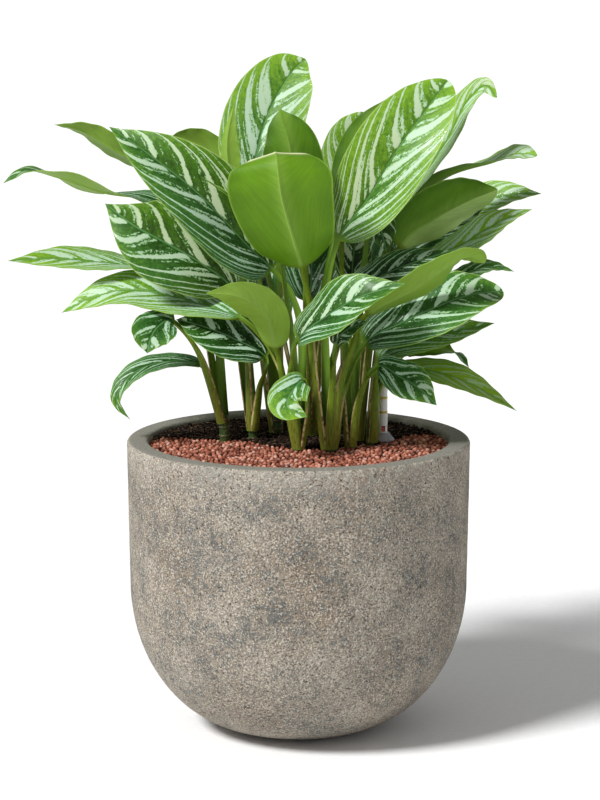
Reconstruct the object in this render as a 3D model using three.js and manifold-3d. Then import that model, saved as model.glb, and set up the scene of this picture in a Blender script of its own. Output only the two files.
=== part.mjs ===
// A potted Chinese evergreen with striped leaves, in millimetres, +Z up.
// The origin is the centre of the pot's underside. The front faces -Y.
import * as THREE from "three";
import { mergeVertices } from "three/addons/utils/BufferGeometryUtils.js";
import Module from "manifold-3d";

const wasm = await Module();
wasm.setup();

// Driving dimensions
const POT_RADIUS = 175; // at the rim
const WALL_TAPER = 2; // how much narrower the wall is where the bowl begins
const POT_HEIGHT = 300;
const FOOT_RADIUS = 50; // flat underside
const BOWL_RISE = 152; // height where the round bottom meets the wall
const BOWL_STEPS = 9;
const WALL = 22;
const FLOOR = 22; // thickness of the pot's floor
const LIP_ROUND = 4;
const POT_SIDES = 32;
const BED_TOP = 294; // level of the planting mix and of the granules
const GRANULE_DEPTH = 9;
const GRANULE_PITCH = 8.5; // larger than life
const GRANULE_RELIEF = 1.3;
const GRANULE_SHIFT = 1.2; // how far a granule may sit from its place in the rows
const GRANULE_BACK = 62; // the rows start at the pot's front and reach this far behind its middle
const GAP = 0.35; // between touching pieces
const GAUGE = {
  x: 87, y: 15, tube: 4.2, wall: 1.2, top: 351, foot: 200, bore: 48, collar: 11.5, collarTop: 303,
};
const INDICATOR_TOP = 309;
const WINDOW = { low: 304, high: 310, width: 3.8 }; // slot in the tube's front that shows the indicator
const BLADE_THICK = 0.8;
const STALK_HALF = 2.7; // half width of a petiole
const CANE_CLEARANCE = 1; // between a cane and the hole it stands in
const CANE_FOOT = 262; // how deep the canes reach

const COLOURS = {
  stone: [0x8f8578, 0.92, 0],
  soil: [0x1d1512, 1, 0],
  clay: [0xb4604c, 0.85, 0],
  plastic: [0xeceef2, 0.4, 0],
  mark: [0xc23a3a, 0.5, 0],
  cane: [0x3c5a1f, 0.55, 0],
  leaf: [0x3f7d33, 0.4, 0],
};

// Canes: foot on the bed x, y; top x, y, z; radius; how far below the top the petioles begin
const CANES = [
  [-76, 18, -77, 17, 322, 5.4, 10],
  [-47, 21, -47, 20, 318, 5, 14],
  [-2, -33, 0, -33, 322, 5, 22],
  [31, -33, 31, -33, 318, 7, 21],
  [52, -22, 53, -22, 320, 4.6, 23],
  [60, 14, 61, 13, 322, 4.6, 25],
  [73, -3, 75, -3, 324, 4.6, 14],
  [12, 40, 12, 42, 326, 5.6, 22],
  [-22, 52, -23, 54, 322, 5.2, 25],
];

// Leaves. Each has the cane it clasps (counted from 1), the points its petiole passes, the points of its
// midrib from the blade's base to the tip, half the blade's width, the way the upper side faces at even
// steps from base to tip, how far the halves fold up in degrees, how far the margins wave, and for some
// how blunt the tip is.
const LEAVES = [
  { cane: 8, foot: 190, stalk: [[-22, 40, 430]], rib: [[-52, 44, 532], [-44, 56, 582], [-31, 75, 626],
    [-10, 92, 663], [7, 100, 680]], half: 44, face: [[-0.1, -0.9, 0.3], [-0.2, -0.9, 0.3]], fold: 14,
    wave: 2, tip: 0.05 },
  { cane: 4, foot: 210, stalk: [[14, -44, 387], [12, -51, 439]], rib: [[3, -66, 483], [-3, -86, 506],
    [-15, -105, 550], [-19, -110, 576], [-21, -103, 593], [-23, -84, 597], [-25, -62, 584]], half: 52,
    face: [[0, 1, 0.2], [0, 1, 0.2], [0, 0.2, -1]], fold: 10, wave: 2 },
  { cane: 8, foot: 244, stalk: [[8, -4, 420]], rib: [[6, -32, 518], [3, -38, 540], [-4, -42, 570],
    [-9, -42, 602], [-16, -36, 625], [-18, -28, 636]], half: 32, face: [[0.1, 1, 0.1]], fold: 14,
    wave: 1 },
  { cane: 2, foot: 60, stalk: [[-56, 26, 440]], rib: [[-64, 14, 544], [-70, 14, 576], [-71, 14, 605],
    [-64, 15, 640]], half: 13, face: [[0.5, 0.85, 0]], fold: 30, wave: 0 },
  { cane: 3, foot: 60, stalk: [[4, -24, 400], [-6, -24, 448]], rib: [[-26, -25, 476], [-53, -35, 503],
    [-97, -42, 551], [-144, -32, 588], [-189, -8, 617]], half: 46, face: [[0.27, -0.9, 0.32]], fold: 24,
    wave: 2 },
  { cane: 2, foot: 220, stalk: [[-53, 14, 400]], rib: [[-66, 4, 451], [-101, -9, 482], [-141, -10, 505],
    [-167, -6, 519], [-195, 5, 539]], half: 43, face: [[0, -1, 0.2]], fold: 10, wave: 2 },
  { cane: 1, foot: 70, stalk: [[-88, 30, 440]], rib: [[-117, 40, 522], [-153, 42, 540], [-199, 42, 547],
    [-245, 42, 562], [-277, 42, 569], [-301, 36, 557]], half: 24, face: [[0.1, -0.6, 0.8], [0, 0.4, 0.9],
    [0, -0.5, 0.9]], fold: 8, wave: 1 },
  { cane: 2, foot: 130, stalk: [[-72, 42, 450]], rib: [[-113, 58, 545], [-158, 62, 572], [-192, 64, 590],
    [-222, 64, 608], [-250, 60, 615]], half: 24, face: [[0, 0.5, 0.85]], fold: 14, wave: 1 },
  { cane: 9, foot: 134, stalk: [[-37, 68, 440]], rib: [[-61, 80, 528], [-80, 86, 566], [-98, 88, 588],
    [-118, 86, 598], [-134, 84, 600]], half: 21, face: [[0.2, 0.85, 0.5]], fold: 14, wave: 1 },
  { cane: 3, foot: 115, stalk: [[-5, -36, 390], [-12, -48, 450]], rib: [[-23, -64, 511], [-58, -76, 546],
    [-95, -76, 573]], half: 5, face: [[0.4, -0.8, 0.4]], fold: 60, wave: 0 },
  { cane: 4, foot: 110, stalk: [[27, -22, 385], [27, -20, 445]], rib: [[40, -20, 505], [69, -32, 548],
    [98, -36, 597], [127, -26, 636], [148, -10, 663]], half: 44, face: [[-0.31, -0.93, 0.21]], fold: 20,
    wave: 2, tip: -0.1 },
  { cane: 5, foot: 120, stalk: [[46, -4, 430]], rib: [[44, 5, 517], [55, 12, 566], [69, 18, 610],
    [91, 20, 645]], half: 26, face: [[0.3, 0.9, 0.2]], fold: 14, wave: 1 },
  { cane: 8, foot: 296, stalk: [[28, 36, 430]], rib: [[42, 34, 520], [42, 42, 565], [49, 48, 603],
    [66, 54, 628]], half: 22, face: [[-0.2, -0.95, 0.2]], fold: 14, wave: 1, tip: 0 },
  { cane: 6, foot: 0, stalk: [[74, 10, 420]], rib: [[102, 14, 528], [130, 18, 571], [152, 22, 605],
    [168, 25, 637], [187, 22, 656], [199, 12, 645]], half: 15, face: [[-0.6, -0.7, 0.4]], fold: 20,
    wave: 1, tip: 0 },
  { cane: 6, foot: 120, stalk: [[76, 42, 440]], rib: [[110, 44, 530], [152, 48, 563], [197, 48, 577],
    [224, 44, 586], [243, 38, 585]], half: 24, face: [[0, 0.5, 0.9], [0, 0, 1], [-0.1, -0.7, 0.7]],
    fold: 12, wave: 1, tip: 0.1 },
  { cane: 6, foot: 300, stalk: [[76, -1, 420]], rib: [[102, 4, 495], [135, 6, 522], [170, 0, 542],
    [199, -12, 555]], half: 38, face: [[-0.2, 0.75, 0.6]], fold: 18, wave: 2, tip: 0.1 },
  { cane: 6, foot: 180, stalk: [[58, 34, 360], [82, 60, 430]], rib: [[112, 68, 488], [152, 72, 508],
    [178, 72, 522], [195, 68, 534]], half: 20, face: [[0, -0.6, 0.8]], fold: 12, wave: 1 },
  { cane: 8, foot: 347, stalk: [[60, 56, 400]], rib: [[137, 100, 513], [180, 106, 528], [216, 98, 539],
    [252, 84, 542]], half: 22, face: [[0, -0.7, 0.7]], fold: 10, wave: 1 },
  { cane: 7, foot: 112, stalk: [[88, 15, 400]], rib: [[125, 10, 470], [171, 13, 500], [204, 14, 520],
    [236, 10, 533]], half: 20, face: [[-0.1, -0.55, 0.8]], fold: 12, wave: 1 },
  { cane: 6, foot: 60, stalk: [[74, 28, 400]], rib: [[84, 34, 467], [116, 34, 485], [149, 32, 494],
    [178, 30, 490]], half: 14, face: [[0, -0.5, 0.85]], fold: 12, wave: 1 },
  { cane: 5, foot: 190, stalk: [[45, -24, 390]], rib: [[47, -22, 447], [82, -26, 469], [118, -28, 484],
    [155, -24, 495]], half: 20, face: [[-0.1, -0.75, 0.65]], fold: 12, wave: 1 },
  { cane: 4, foot: 310, stalk: [[42, -42, 360], [54, -44, 401]], rib: [[68, -47, 434], [112, -65, 460],
    [140, -75, 481], [165, -72, 494], [183, -62, 487]], half: 24, face: [[0, 0.55, 0.85], [0, 0.4, 0.9]],
    fold: 10, wave: 1, tip: -0.15 },
  { cane: 3, foot: 284, stalk: [[-6, -46, 351], [-8, -56, 383]], rib: [[-1, -63, 411], [29, -85, 438],
    [62, -100, 459], [103, -108, 472]], half: 31, face: [[-0.25, -0.7, 0.65]], fold: 14, wave: 2 },
  { cane: 3, foot: 226, stalk: [[-16, -47, 371]], rib: [[-22, -53, 401], [-32, -80, 438],
    [-57, -100, 458], [-90, -108, 463]], half: 23, face: [[0.2, 0.9, 0.4]], fold: 12, wave: 1 },
  { cane: 2, foot: 300, stalk: [[-40, 2, 350]], rib: [[-34, -12, 385], [-66, -12, 404], [-97, -10, 416],
    [-124, -1, 422]], half: 29, face: [[0.1, -0.75, 0.6]], fold: 12, wave: 1 },
  { cane: 3, foot: 170, stalk: [[-14, -30, 357], [-23, -28, 386], [-37, -25, 408]], rib: [[-59, -22, 427],
    [-97, -1, 437], [-130, 13, 444], [-173, 25, 449], [-211, 34, 440], [-244, 42, 423]], half: 33,
    face: [[0, -0.35, 0.93], [0, -0.65, 0.75]], fold: 8, wave: 2 },
  { cane: 1, foot: 128, stalk: [[-94, 36, 400]], rib: [[-114, 46, 467], [-164, 52, 470], [-206, 54, 474],
    [-250, 50, 478], [-298, 40, 477]], half: 26, face: [[0, 0.3, 0.95], [0, -0.35, 0.95], [0, -0.75, 0.65]],
    fold: 8, wave: 1 },
  { cane: 1, foot: 246, stalk: [[-100, 0, 385]], rib: [[-126, -4, 420], [-142, -20, 417],
    [-149, -36, 405], [-151, -45, 394]], half: 23, face: [[0, -0.6, 0.8], [0, -1, 0.2]], fold: 8,
    wave: 1 },
  { cane: 1, foot: 186, stalk: [[-86, 19, 350]], rib: [[-100, 20, 372], [-130, 13, 377], [-159, 0, 372],
    [-178, -8, 357], [-184, -13, 339], [-171, -14, 321]], half: 13, face: [[0, -0.5, 0.9],
    [-0.5, -0.7, 0.5], [-0.8, -0.6, 0]], fold: 12, wave: 1 },
  { cane: 3, foot: 345, stalk: [[8, -46, 345]], rib: [[5, -60, 369], [-9, -76, 357], [-10, -87, 346],
    [9, -92, 338]], half: 20, face: [[-0.1, -0.9, 0.45]], fold: 10, wave: 1 },
  { cane: 4, foot: 0, stalk: [[45, -32, 350]], rib: [[66, -36, 402], [102, -50, 425], [141, -52, 443],
    [172, -45, 453], [204, -32, 455]], half: 37, face: [[-0.15, -0.7, 0.7]], fold: 12, wave: 2,
    tip: -0.15 },
  { cane: 7, foot: 285, stalk: [[78, -12, 345]], rib: [[82, -10, 382], [118, -14, 402], [159, -16, 412],
    [198, -12, 420]], half: 20, face: [[0, -0.65, 0.75]], fold: 12, wave: 1 },
  { cane: 7, foot: 42, stalk: [[80, 3, 346], [88, 11, 366]], rib: [[98, 20, 376], [108, 20, 388],
    [135, 15, 393], [160, 4, 387], [173, -8, 374]], half: 16, face: [[-0.6, 0.6, 0.5], [0, 0.9, 0.5],
    [0.3, -0.7, 0.6]], fold: 10, wave: 1 },
  { cane: 7, foot: 345, stalk: [[81, -6, 347]], rib: [[95, -3, 367], [124, -4, 371], [156, -8, 365],
    [189, -14, 350], [221, -18, 331]], half: 19, face: [[0, -0.5, 0.85]], fold: 10, wave: 1 },
  { cane: 5, foot: 290, stalk: [[62, -34, 350]], rib: [[79, -40, 380], [102, -48, 370], [121, -53, 359],
    [138, -55, 343]], half: 21, face: [[0.1, -0.8, 0.55]], fold: 8, wave: 1 },
  { cane: 5, foot: 40, stalk: [[62, -10, 430]], rib: [[74, -6, 535], [83, -13, 514], [88, -17, 493]],
    half: 16, face: [[0.2, -0.9, 0.3]], fold: 8, wave: 1 },
  { cane: 6, foot: 240, stalk: [[54, 10, 390]], rib: [[54, 8, 450], [56, 12, 488], [63, 15, 516]],
    half: 19, face: [[0, -1, 0.1]], fold: 8, wave: 1 },
  { cane: 7, foot: 180, stalk: [[75, 4, 352], [87, 3, 412]], rib: [[133, 4, 450], [168, 4, 468],
    [194, 4, 475], [218, 0, 471]], half: 14, face: [[0, -0.4, 0.9]], fold: 8, wave: 1 },
  { cane: 4, foot: 265, stalk: [[34, -45, 360]], rib: [[37, -54, 404], [48, -62, 420], [68, -72, 430]],
    half: 13, face: [[-0.2, -0.8, 0.6]], fold: 8, wave: 1 },
  // leaves behind, which arch away from the viewer
  { cane: 8, foot: 139, stalk: [[10, 70, 390]], rib: [[12, 86, 428], [14, 110, 470], [17, 146, 498],
    [20, 186, 504], [22, 222, 480]], half: 42, face: [[0, -0.7, 0.7]], fold: 14, wave: 2 },
  { cane: 9, foot: 192, stalk: [[-42, 74, 400]], rib: [[-52, 92, 440], [-82, 140, 466], [-106, 180, 442],
    [-118, 202, 395]], half: 36, face: [[0, 0, 1]], fold: 14, wave: 2 },
  { cane: 8, foot: 37, stalk: [[42, 70, 390]], rib: [[64, 92, 430], [92, 126, 468], [122, 160, 482],
    [146, 190, 466]], half: 36, face: [[0.3, -0.7, 0.7]], fold: 14, wave: 2 },
  { cane: 9, foot: 18, stalk: [[-20, 66, 450]], rib: [[-24, 78, 540], [-38, 108, 592], [-48, 150, 618],
    [-54, 186, 610]], half: 32, face: [[0, -0.6, 0.8]], fold: 16, wave: 2 },
  { cane: 8, foot: 88, stalk: [[24, 60, 430]], rib: [[42, 80, 515], [64, 112, 565], [86, 150, 588],
    [105, 184, 575]], half: 32, face: [[0, -0.6, 0.8]], fold: 16, wave: 2 },
  { cane: 9, foot: 78, stalk: [[-24, 78, 355]], rib: [[-28, 88, 388], [-34, 112, 424], [-44, 150, 446],
    [-52, 192, 436], [-56, 218, 404]], half: 34, face: [[0, -0.7, 0.7]], fold: 14, wave: 2 },
];

// Where the granules end behind, left to right
const GRANULE_EDGE = [
  [-156, 12], [-136, 34], [-98, 28], [-60, 20], [-30, -10], [1, -26], [30, -20], [52, -6], [86, 6],
  [108, 40], [130, 52], [156, 36],
];

const v3 = (p) => new THREE.Vector3(...p);
const radians = THREE.MathUtils.degToRad;
const mix = THREE.MathUtils.lerp;

function solidOf(geometry) {
  const plain = new THREE.BufferGeometry();
  const flat = geometry.index ? geometry.toNonIndexed() : geometry;
  plain.setAttribute("position", flat.getAttribute("position"));
  const merged = mergeVertices(plain, 1e-3);
  return new wasm.Manifold(new wasm.Mesh({
    numProp: 3,
    vertProperties: merged.attributes.position.array,
    triVerts: new Uint32Array(merged.index.array),
  }));
}

function geometryOf(solid) {
  const mesh = solid.getMesh();
  const geometry = new THREE.BufferGeometry();
  geometry.setAttribute("position", new THREE.BufferAttribute(mesh.vertProperties, 3));
  geometry.setIndex(new THREE.BufferAttribute(mesh.triVerts, 1));
  return geometry;
}

function facesToGeometry(points, faces) {
  const geometry = new THREE.BufferGeometry();
  geometry.setAttribute("position", new THREE.Float32BufferAttribute(points.flat(), 3));
  geometry.setIndex(faces.flat());
  return geometry;
}

function turned(profile, sides) {
  const geometry = new THREE.LatheGeometry(profile.map(([r, z]) => new THREE.Vector2(r, z)), sides);
  geometry.rotateX(Math.PI / 2);
  return geometry;
}

const BOWL_RADIUS = POT_RADIUS - WALL_TAPER;
const CORNER_CUT = 14; // bevel where the inside meets the floor
const INNER_HEIGHTS = [FLOOR + 6, 40, 60, 90, 120, BOWL_RISE, 200]; // where the inside has a ring of points

// The bowl's outer radius at height z.
function potRadius(z) {
  if (z >= BOWL_RISE) return mix(BOWL_RADIUS, POT_RADIUS, (z - BOWL_RISE) / (POT_HEIGHT - BOWL_RISE));
  const drop = 1 - z / BOWL_RISE;
  return FOOT_RADIUS + (BOWL_RADIUS - FOOT_RADIUS) * Math.sqrt(1 - drop * drop);
}

// The inside radius at height z. The wall grows thicker towards the floor.
function innerRadius(z) {
  const thickenFrom = 90;
  return potRadius(z) - WALL - 0.12 * Math.max(0, thickenFrom - z);
}

function pot() {
  const outside = [[0, 0], [FOOT_RADIUS, 0]];
  for (let i = 1; i <= BOWL_STEPS; i++) {
    const z = BOWL_RISE * (1 - Math.cos((i / BOWL_STEPS) * (Math.PI / 2)));
    outside.push([potRadius(z), z]);
  }
  const lip = POT_RADIUS - WALL;
  const corner = POT_HEIGHT - LIP_ROUND * 0.3;
  outside.push(
    [POT_RADIUS, POT_HEIGHT - LIP_ROUND],
    [POT_RADIUS - LIP_ROUND * 0.3, corner],
    [POT_RADIUS - LIP_ROUND, POT_HEIGHT],
  );
  const inside = [
    [lip + LIP_ROUND, POT_HEIGHT],
    [lip + LIP_ROUND * 0.3, corner],
    [lip, POT_HEIGHT - LIP_ROUND],
  ];
  for (const z of INNER_HEIGHTS.toReversed()) inside.push([innerRadius(z), z]);
  inside.push([innerRadius(INNER_HEIGHTS[0]) - CORNER_CUT, FLOOR], [0, FLOOR]);
  return turned([...outside, ...inside], POT_SIDES);
}

// The line where the granules end, as a smooth curve seen from above.
function granuleEdge() {
  return new THREE.SplineCurve(GRANULE_EDGE.map(([x, y]) => new THREE.Vector2(x, y)));
}

// The plan of the granule layer, grown by the given margin, as an upright block.
function granuleBlock(margin, low, high) {
  const radius = POT_RADIUS - WALL - GAP * 2 + margin;
  const edge = granuleEdge().getPoints(40).filter((p) => p.length() < radius - 1);
  const first = edge[0];
  const last = edge[edge.length - 1];
  const shape = new THREE.Shape(edge.map((p) => new THREE.Vector2(p.x, p.y + margin)));
  const from = Math.atan2(last.y, last.x);
  const to = Math.atan2(first.y, first.x) - 2 * Math.PI;
  const arcSteps = 24;
  for (let i = 0; i <= arcSteps; i++) {
    const turn = mix(from, to, i / arcSteps);
    shape.lineTo(radius * Math.cos(turn), radius * Math.sin(turn));
  }
  const settings = { depth: high - low, bevelEnabled: false, curveSegments: 1 };
  const geometry = new THREE.ExtrudeGeometry(shape, settings);
  geometry.translate(0, 0, low);
  return solidOf(geometry);
}

// A block whose top is raised in granules by a formula.
function pebbledBlock() {
  const across = Math.ceil((2 * POT_RADIUS) / GRANULE_PITCH);
  const x0 = -(across * GRANULE_PITCH) / 2;
  const y0 = -(POT_RADIUS - WALL) - GRANULE_SHIFT;
  const deep = Math.ceil((GRANULE_BACK - y0) / GRANULE_PITCH);
  const points = [];
  for (let j = 0; j <= deep; j++) {
    for (let i = 0; i <= across; i++) {
      const hill = (i + j) % 2 ? 1 : -1;
      const jitter = Math.sin(i * 12.9 + j * 78.2);
      points.push([
        x0 + i * GRANULE_PITCH + jitter * GRANULE_SHIFT,
        y0 + j * GRANULE_PITCH + Math.sin(i * 37.7 + j * 4.6) * GRANULE_SHIFT,
        BED_TOP + GRANULE_RELIEF * (hill + 0.6 * jitter - 1),
      ]);
    }
  }
  const row = across + 1;
  const faces = [];
  for (let j = 0; j < deep; j++) {
    for (let i = 0; i < across; i++) {
      const a = j * row + i;
      faces.push([a, a + 1, a + 1 + row], [a, a + 1 + row, a + row]);
    }
  }
  const rim = [];
  for (let i = 0; i < across; i++) rim.push(i);
  for (let j = 0; j < deep; j++) rim.push(j * row + across);
  for (let i = across; i > 0; i--) rim.push(deep * row + i);
  for (let j = deep; j > 0; j--) rim.push(j * row);
  const foot = points.length;
  const base = BED_TOP - GRANULE_DEPTH - 5;
  for (const k of rim) points.push([points[k][0], points[k][1], base]);
  const middle = points.length;
  points.push([0, y0 + (deep * GRANULE_PITCH) / 2, base]);
  rim.forEach((k, n) => {
    const next = (n + 1) % rim.length;
    faces.push([k, foot + n, foot + next], [k, foot + next, rim[next]], [middle, foot + next, foot + n]);
  });
  return solidOf(facesToGeometry(points, faces));
}

function upright(x, y, radius, low, high, sides) {
  const geometry = new THREE.CylinderGeometry(radius, radius, high - low, sides);
  geometry.rotateX(Math.PI / 2);
  geometry.translate(x, y, (low + high) / 2);
  return solidOf(geometry);
}

// Plain holes in the bed for the canes and the gauge.
function boredBed(solid) {
  let bored = solid;
  for (const [x, y, , , , radius] of CANES) {
    bored = bored.subtract(upright(x, y, radius + CANE_CLEARANCE, CANE_FOOT - GAP, POT_HEIGHT, 10));
  }
  return bored.subtract(upright(GAUGE.x, GAUGE.y, GAUGE.tube + GAP, GAUGE.foot - GAP, POT_HEIGHT, 16));
}

function soil() {
  const top = BED_TOP - 0.5;
  const side = [...INNER_HEIGHTS, top].map((z) => [innerRadius(z) - GAP * 2, z]);
  const floor = [[0, FLOOR + GAP], [innerRadius(INNER_HEIGHTS[0]) - CORNER_CUT - 2, FLOOR + GAP]];
  const block = solidOf(turned([...floor, ...side, [0, top]], POT_SIDES));
  return geometryOf(boredBed(block.subtract(granuleBlock(GAP, BED_TOP - GRANULE_DEPTH - GAP, POT_HEIGHT))));
}

function granules() {
  const layer = pebbledBlock().intersect(granuleBlock(-GAP, BED_TOP - GRANULE_DEPTH, POT_HEIGHT));
  return geometryOf(boredBed(layer));
}

function gaugeTube() {
  const { tube, wall, top, foot, bore } = GAUGE;
  const inside = tube - wall;
  const whole = turned([[0, foot], [tube, foot], [tube, top - 1], [tube - wall / 2, top], [inside, top],
    [inside, top - bore], [0, top - bore]], 16);
  const slot = new THREE.BoxGeometry(WINDOW.width, tube, WINDOW.high - WINDOW.low);
  slot.translate(0, -tube / 2 - wall, (WINDOW.low + WINDOW.high) / 2);
  return geometryOf(solidOf(whole).subtract(solidOf(slot)));
}

function gaugeCollar() {
  const { tube, collar, collarTop } = GAUGE;
  const hole = tube + GAP;
  const low = BED_TOP + GAP * 2;
  return turned([
    [hole, low],
    [collar, low],
    [collar, low + 1.6],
    [tube + 2.4, collarTop - 1],
    [tube + 1.6, collarTop],
    [hole, collarTop],
    [hole, low],
  ], 14);
}

function gaugeIndicator() {
  const { tube, wall, top, bore } = GAUGE;
  const rod = tube - wall - GAP;
  const low = top - bore + GAP;
  return turned([[0, low], [rod, low], [rod, INDICATOR_TOP], [0, INDICATOR_TOP]], 12);
}

// A cane with the rings that fallen leaves leave.
function cane([x, y, topX, topY, topZ, radius]) {
  const height = topZ - CANE_FOOT;
  const profile = [[0, 0], [radius * 0.9, 0], [radius * 0.95, height * 0.5], [radius * 1.06, height * 0.6],
    [radius * 0.95, height * 0.68], [radius * 1.05, height * 0.84], [radius * 0.9, height * 0.9],
    [radius * 0.55, height], [0, height]];
  const geometry = turned(profile, 8);
  geometry.translate(x, y, CANE_FOOT);
  const vertices = geometry.attributes.position;
  for (let i = 0; i < vertices.count; i++) {
    const rise = Math.max(0, (vertices.getZ(i) - BED_TOP) / (topZ - BED_TOP));
    vertices.setX(i, vertices.getX(i) + rise * (topX - x));
    vertices.setY(i, vertices.getY(i) + rise * (topY - y));
  }
  return geometry;
}

// Half the blade's width at t from base to tip, as a share of the widest. A small tip makes a blunt end.
function bladeShape(t, tip = 0.45) {
  return Math.sin(Math.PI * t ** 0.8) ** (0.65 + tip * t);
}

// The points of a leaf's spine: beside its cane, along the petiole, and along the midrib.
function spinePoints({ cane: number, foot, stalk, rib }) {
  const [, , x, y, top, radius, drop] = CANES[number - 1];
  const reach = radius * 1.06 + STALK_HALF * 0.3 + GAP;
  const start = [x + reach * Math.cos(radians(foot)), y + reach * Math.sin(radians(foot)), top - drop];
  return [start, ...stalk, ...rib];
}

// Cross-sections of petiole and blade as points across and up, upper side first.
const ACROSS = [-1, -0.5, 0, 0.5, 1];
const STALK_UPPER = [[-1, 0.3], [-0.6, 0], [0, -0.15], [0.6, 0], [1, 0.3]];
const STALK_LOWER = [[-1, -0.1], [-0.7, -0.7], [0, -1], [0.7, -0.7], [1, -0.1]];

// The way the upper side faces at t from base to tip.
function faceAt(faces, t) {
  const slide = t * (faces.length - 1);
  const k = Math.min(Math.floor(slide), faces.length - 1);
  return v3(faces[k]).lerp(v3(faces[Math.min(k + 1, faces.length - 1)]), slide - k);
}

// One leaf: its petiole, then its blade, which the rings of points lead into one another.
function leaf(spec) {
  const points = spinePoints(spec).map(v3);
  const spine = new THREE.CatmullRomCurve3(points, false, "catmullrom", 0.5);
  const spans = points.length - 1;
  const bladeStart = (points.length - spec.rib.length) / spans;
  const bladeSteps = spec.half > 22 ? 9 : 7;
  const stalkSteps = 3 + spec.stalk.length;
  const inward = new THREE.Vector3(-Math.cos(radians(spec.foot)), -Math.sin(radians(spec.foot)), 0);
  const stations = [];
  for (let i = 0; i < stalkSteps; i++) {
    const share = i / stalkSteps;
    stations.push({ u: share * bladeStart, t: -1, stalk: share });
  }
  for (let i = 0; i <= bladeSteps; i++) {
    const t = i / bladeSteps;
    stations.push({ u: mix(bladeStart, 1, t), t, stalk: 1 });
  }
  const vertices = [];
  for (const { u, t, stalk } of stations) {
    const centre = spine.getPoint(u);
    const along = spine.getTangent(u);
    const face = faceAt(spec.face, Math.max(0, t)).lerp(inward, (1 - stalk) ** 0.7);
    const side = along.clone().cross(face).normalize();
    const up = side.clone().cross(along);
    const thin = STALK_HALF * (t < 0 ? 1 : 1 - 0.75 * t);
    const width = t < 0 ? 0 : spec.half * bladeShape(Math.min(t, 0.985), spec.tip);
    const flat = THREE.MathUtils.smoothstep(t, 0.02, 0.2);
    const fold = radians(spec.fold);
    const upper = [];
    const lower = [];
    ACROSS.forEach((s, n) => {
      const lean = Math.abs(s);
      const ripple = Math.sin(9 * t + (s > 0 ? 0.6 : 2.4)) * Math.min(1, width / 20);
      const wave = spec.wave * lean * lean * ripple;
      const out = s * width * Math.cos(fold);
      const lift = lean * width * Math.sin(fold) * (1.2 - 0.4 * lean) + wave;
      const keel = s === 0 ? Math.max(BLADE_THICK, thin * 0.9) : BLADE_THICK;
      const topOut = mix(STALK_UPPER[n][0] * thin + out, out, flat);
      const topUp = mix(STALK_UPPER[n][1] * thin + lift, lift + BLADE_THICK / 2, flat);
      const lowOut = mix(STALK_LOWER[n][0] * thin + out, out, flat);
      const lowUp = mix(STALK_LOWER[n][1] * thin + lift, lift + BLADE_THICK / 2 - keel, flat);
      upper.push(centre.clone().addScaledVector(side, topOut).addScaledVector(up, topUp));
      lower.push(centre.clone().addScaledVector(side, lowOut).addScaledVector(up, lowUp));
    });
    vertices.push(...upper, ...lower);
  }
  return facesToGeometry(vertices.map((p) => p.toArray()), leafFaces(stations.length));
}

// The faces over a leaf's rings of points. Both sides of the blade are split into triangles along the same
// diagonals, so that the thickness stays even, and edges and ends close it.
function leafFaces(count) {
  const across = ACROSS.length;
  const ring = 2 * across;
  const faces = [];
  const quad = (a, b, c, d) => faces.push([a, b, c], [a, c, d]);
  for (let i = 0; i < count - 1; i++) {
    const here = i * ring;
    const next = here + ring;
    for (let n = 0; n < across - 1; n++) {
      quad(here + n, here + n + 1, next + n + 1, next + n);
      quad(here + across + n, next + across + n, next + across + n + 1, here + across + n + 1);
    }
    const last = across - 1;
    quad(here, next, next + across, here + across);
    quad(here + last, here + across + last, next + across + last, next + last);
  }
  const end = (count - 1) * ring;
  for (let n = 0; n < across - 1; n++) {
    quad(n, across + n, across + n + 1, n + 1);
    quad(end + n, end + n + 1, end + across + n + 1, end + across + n);
  }
  return faces;
}

const plant = new THREE.Group();

function place(name, geometry, colour, x = 0, y = 0) {
  const [color, roughness, metalness] = COLOURS[colour];
  const mesh = new THREE.Mesh(geometry, new THREE.MeshStandardMaterial({ color, roughness, metalness }));
  mesh.name = name;
  mesh.position.set(x, y, 0);
  plant.add(mesh);
}

place("pot", pot(), "stone");
place("soil_bed", soil(), "soil");
place("clay_granules", granules(), "clay");
place("gauge_tube", gaugeTube(), "plastic", GAUGE.x, GAUGE.y);
place("gauge_collar", gaugeCollar(), "plastic", GAUGE.x, GAUGE.y);
place("gauge_indicator", gaugeIndicator(), "mark", GAUGE.x, GAUGE.y);
CANES.forEach((spec, i) => place(`cane_${i + 1}`, cane(spec), "cane"));
LEAVES.forEach((spec, i) => place(`leaf_${String(i + 1).padStart(2, "0")}`, leaf(spec), "leaf"));

export default plant;
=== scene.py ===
"""A potted Chinese evergreen with striped leaves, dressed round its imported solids.

Each piece of the real thing is a class that builds its own meshes and gives them their finish.
Plans are in millimetres, as a maker would write them, and meshes are in metres, with +Z up. GAP is
the clearance between solids, AXIS the radius at which a turned outline meets its axis, and RING_BULGE
how much wider than its plan a cane is at its rings.
"""

from __future__ import annotations

import logging
import math
from dataclasses import dataclass, field
from enum import Enum
from typing import Optional, Sequence, Union

import bpy
import bmesh
import numpy as np
from mathutils import Matrix, Vector


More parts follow.
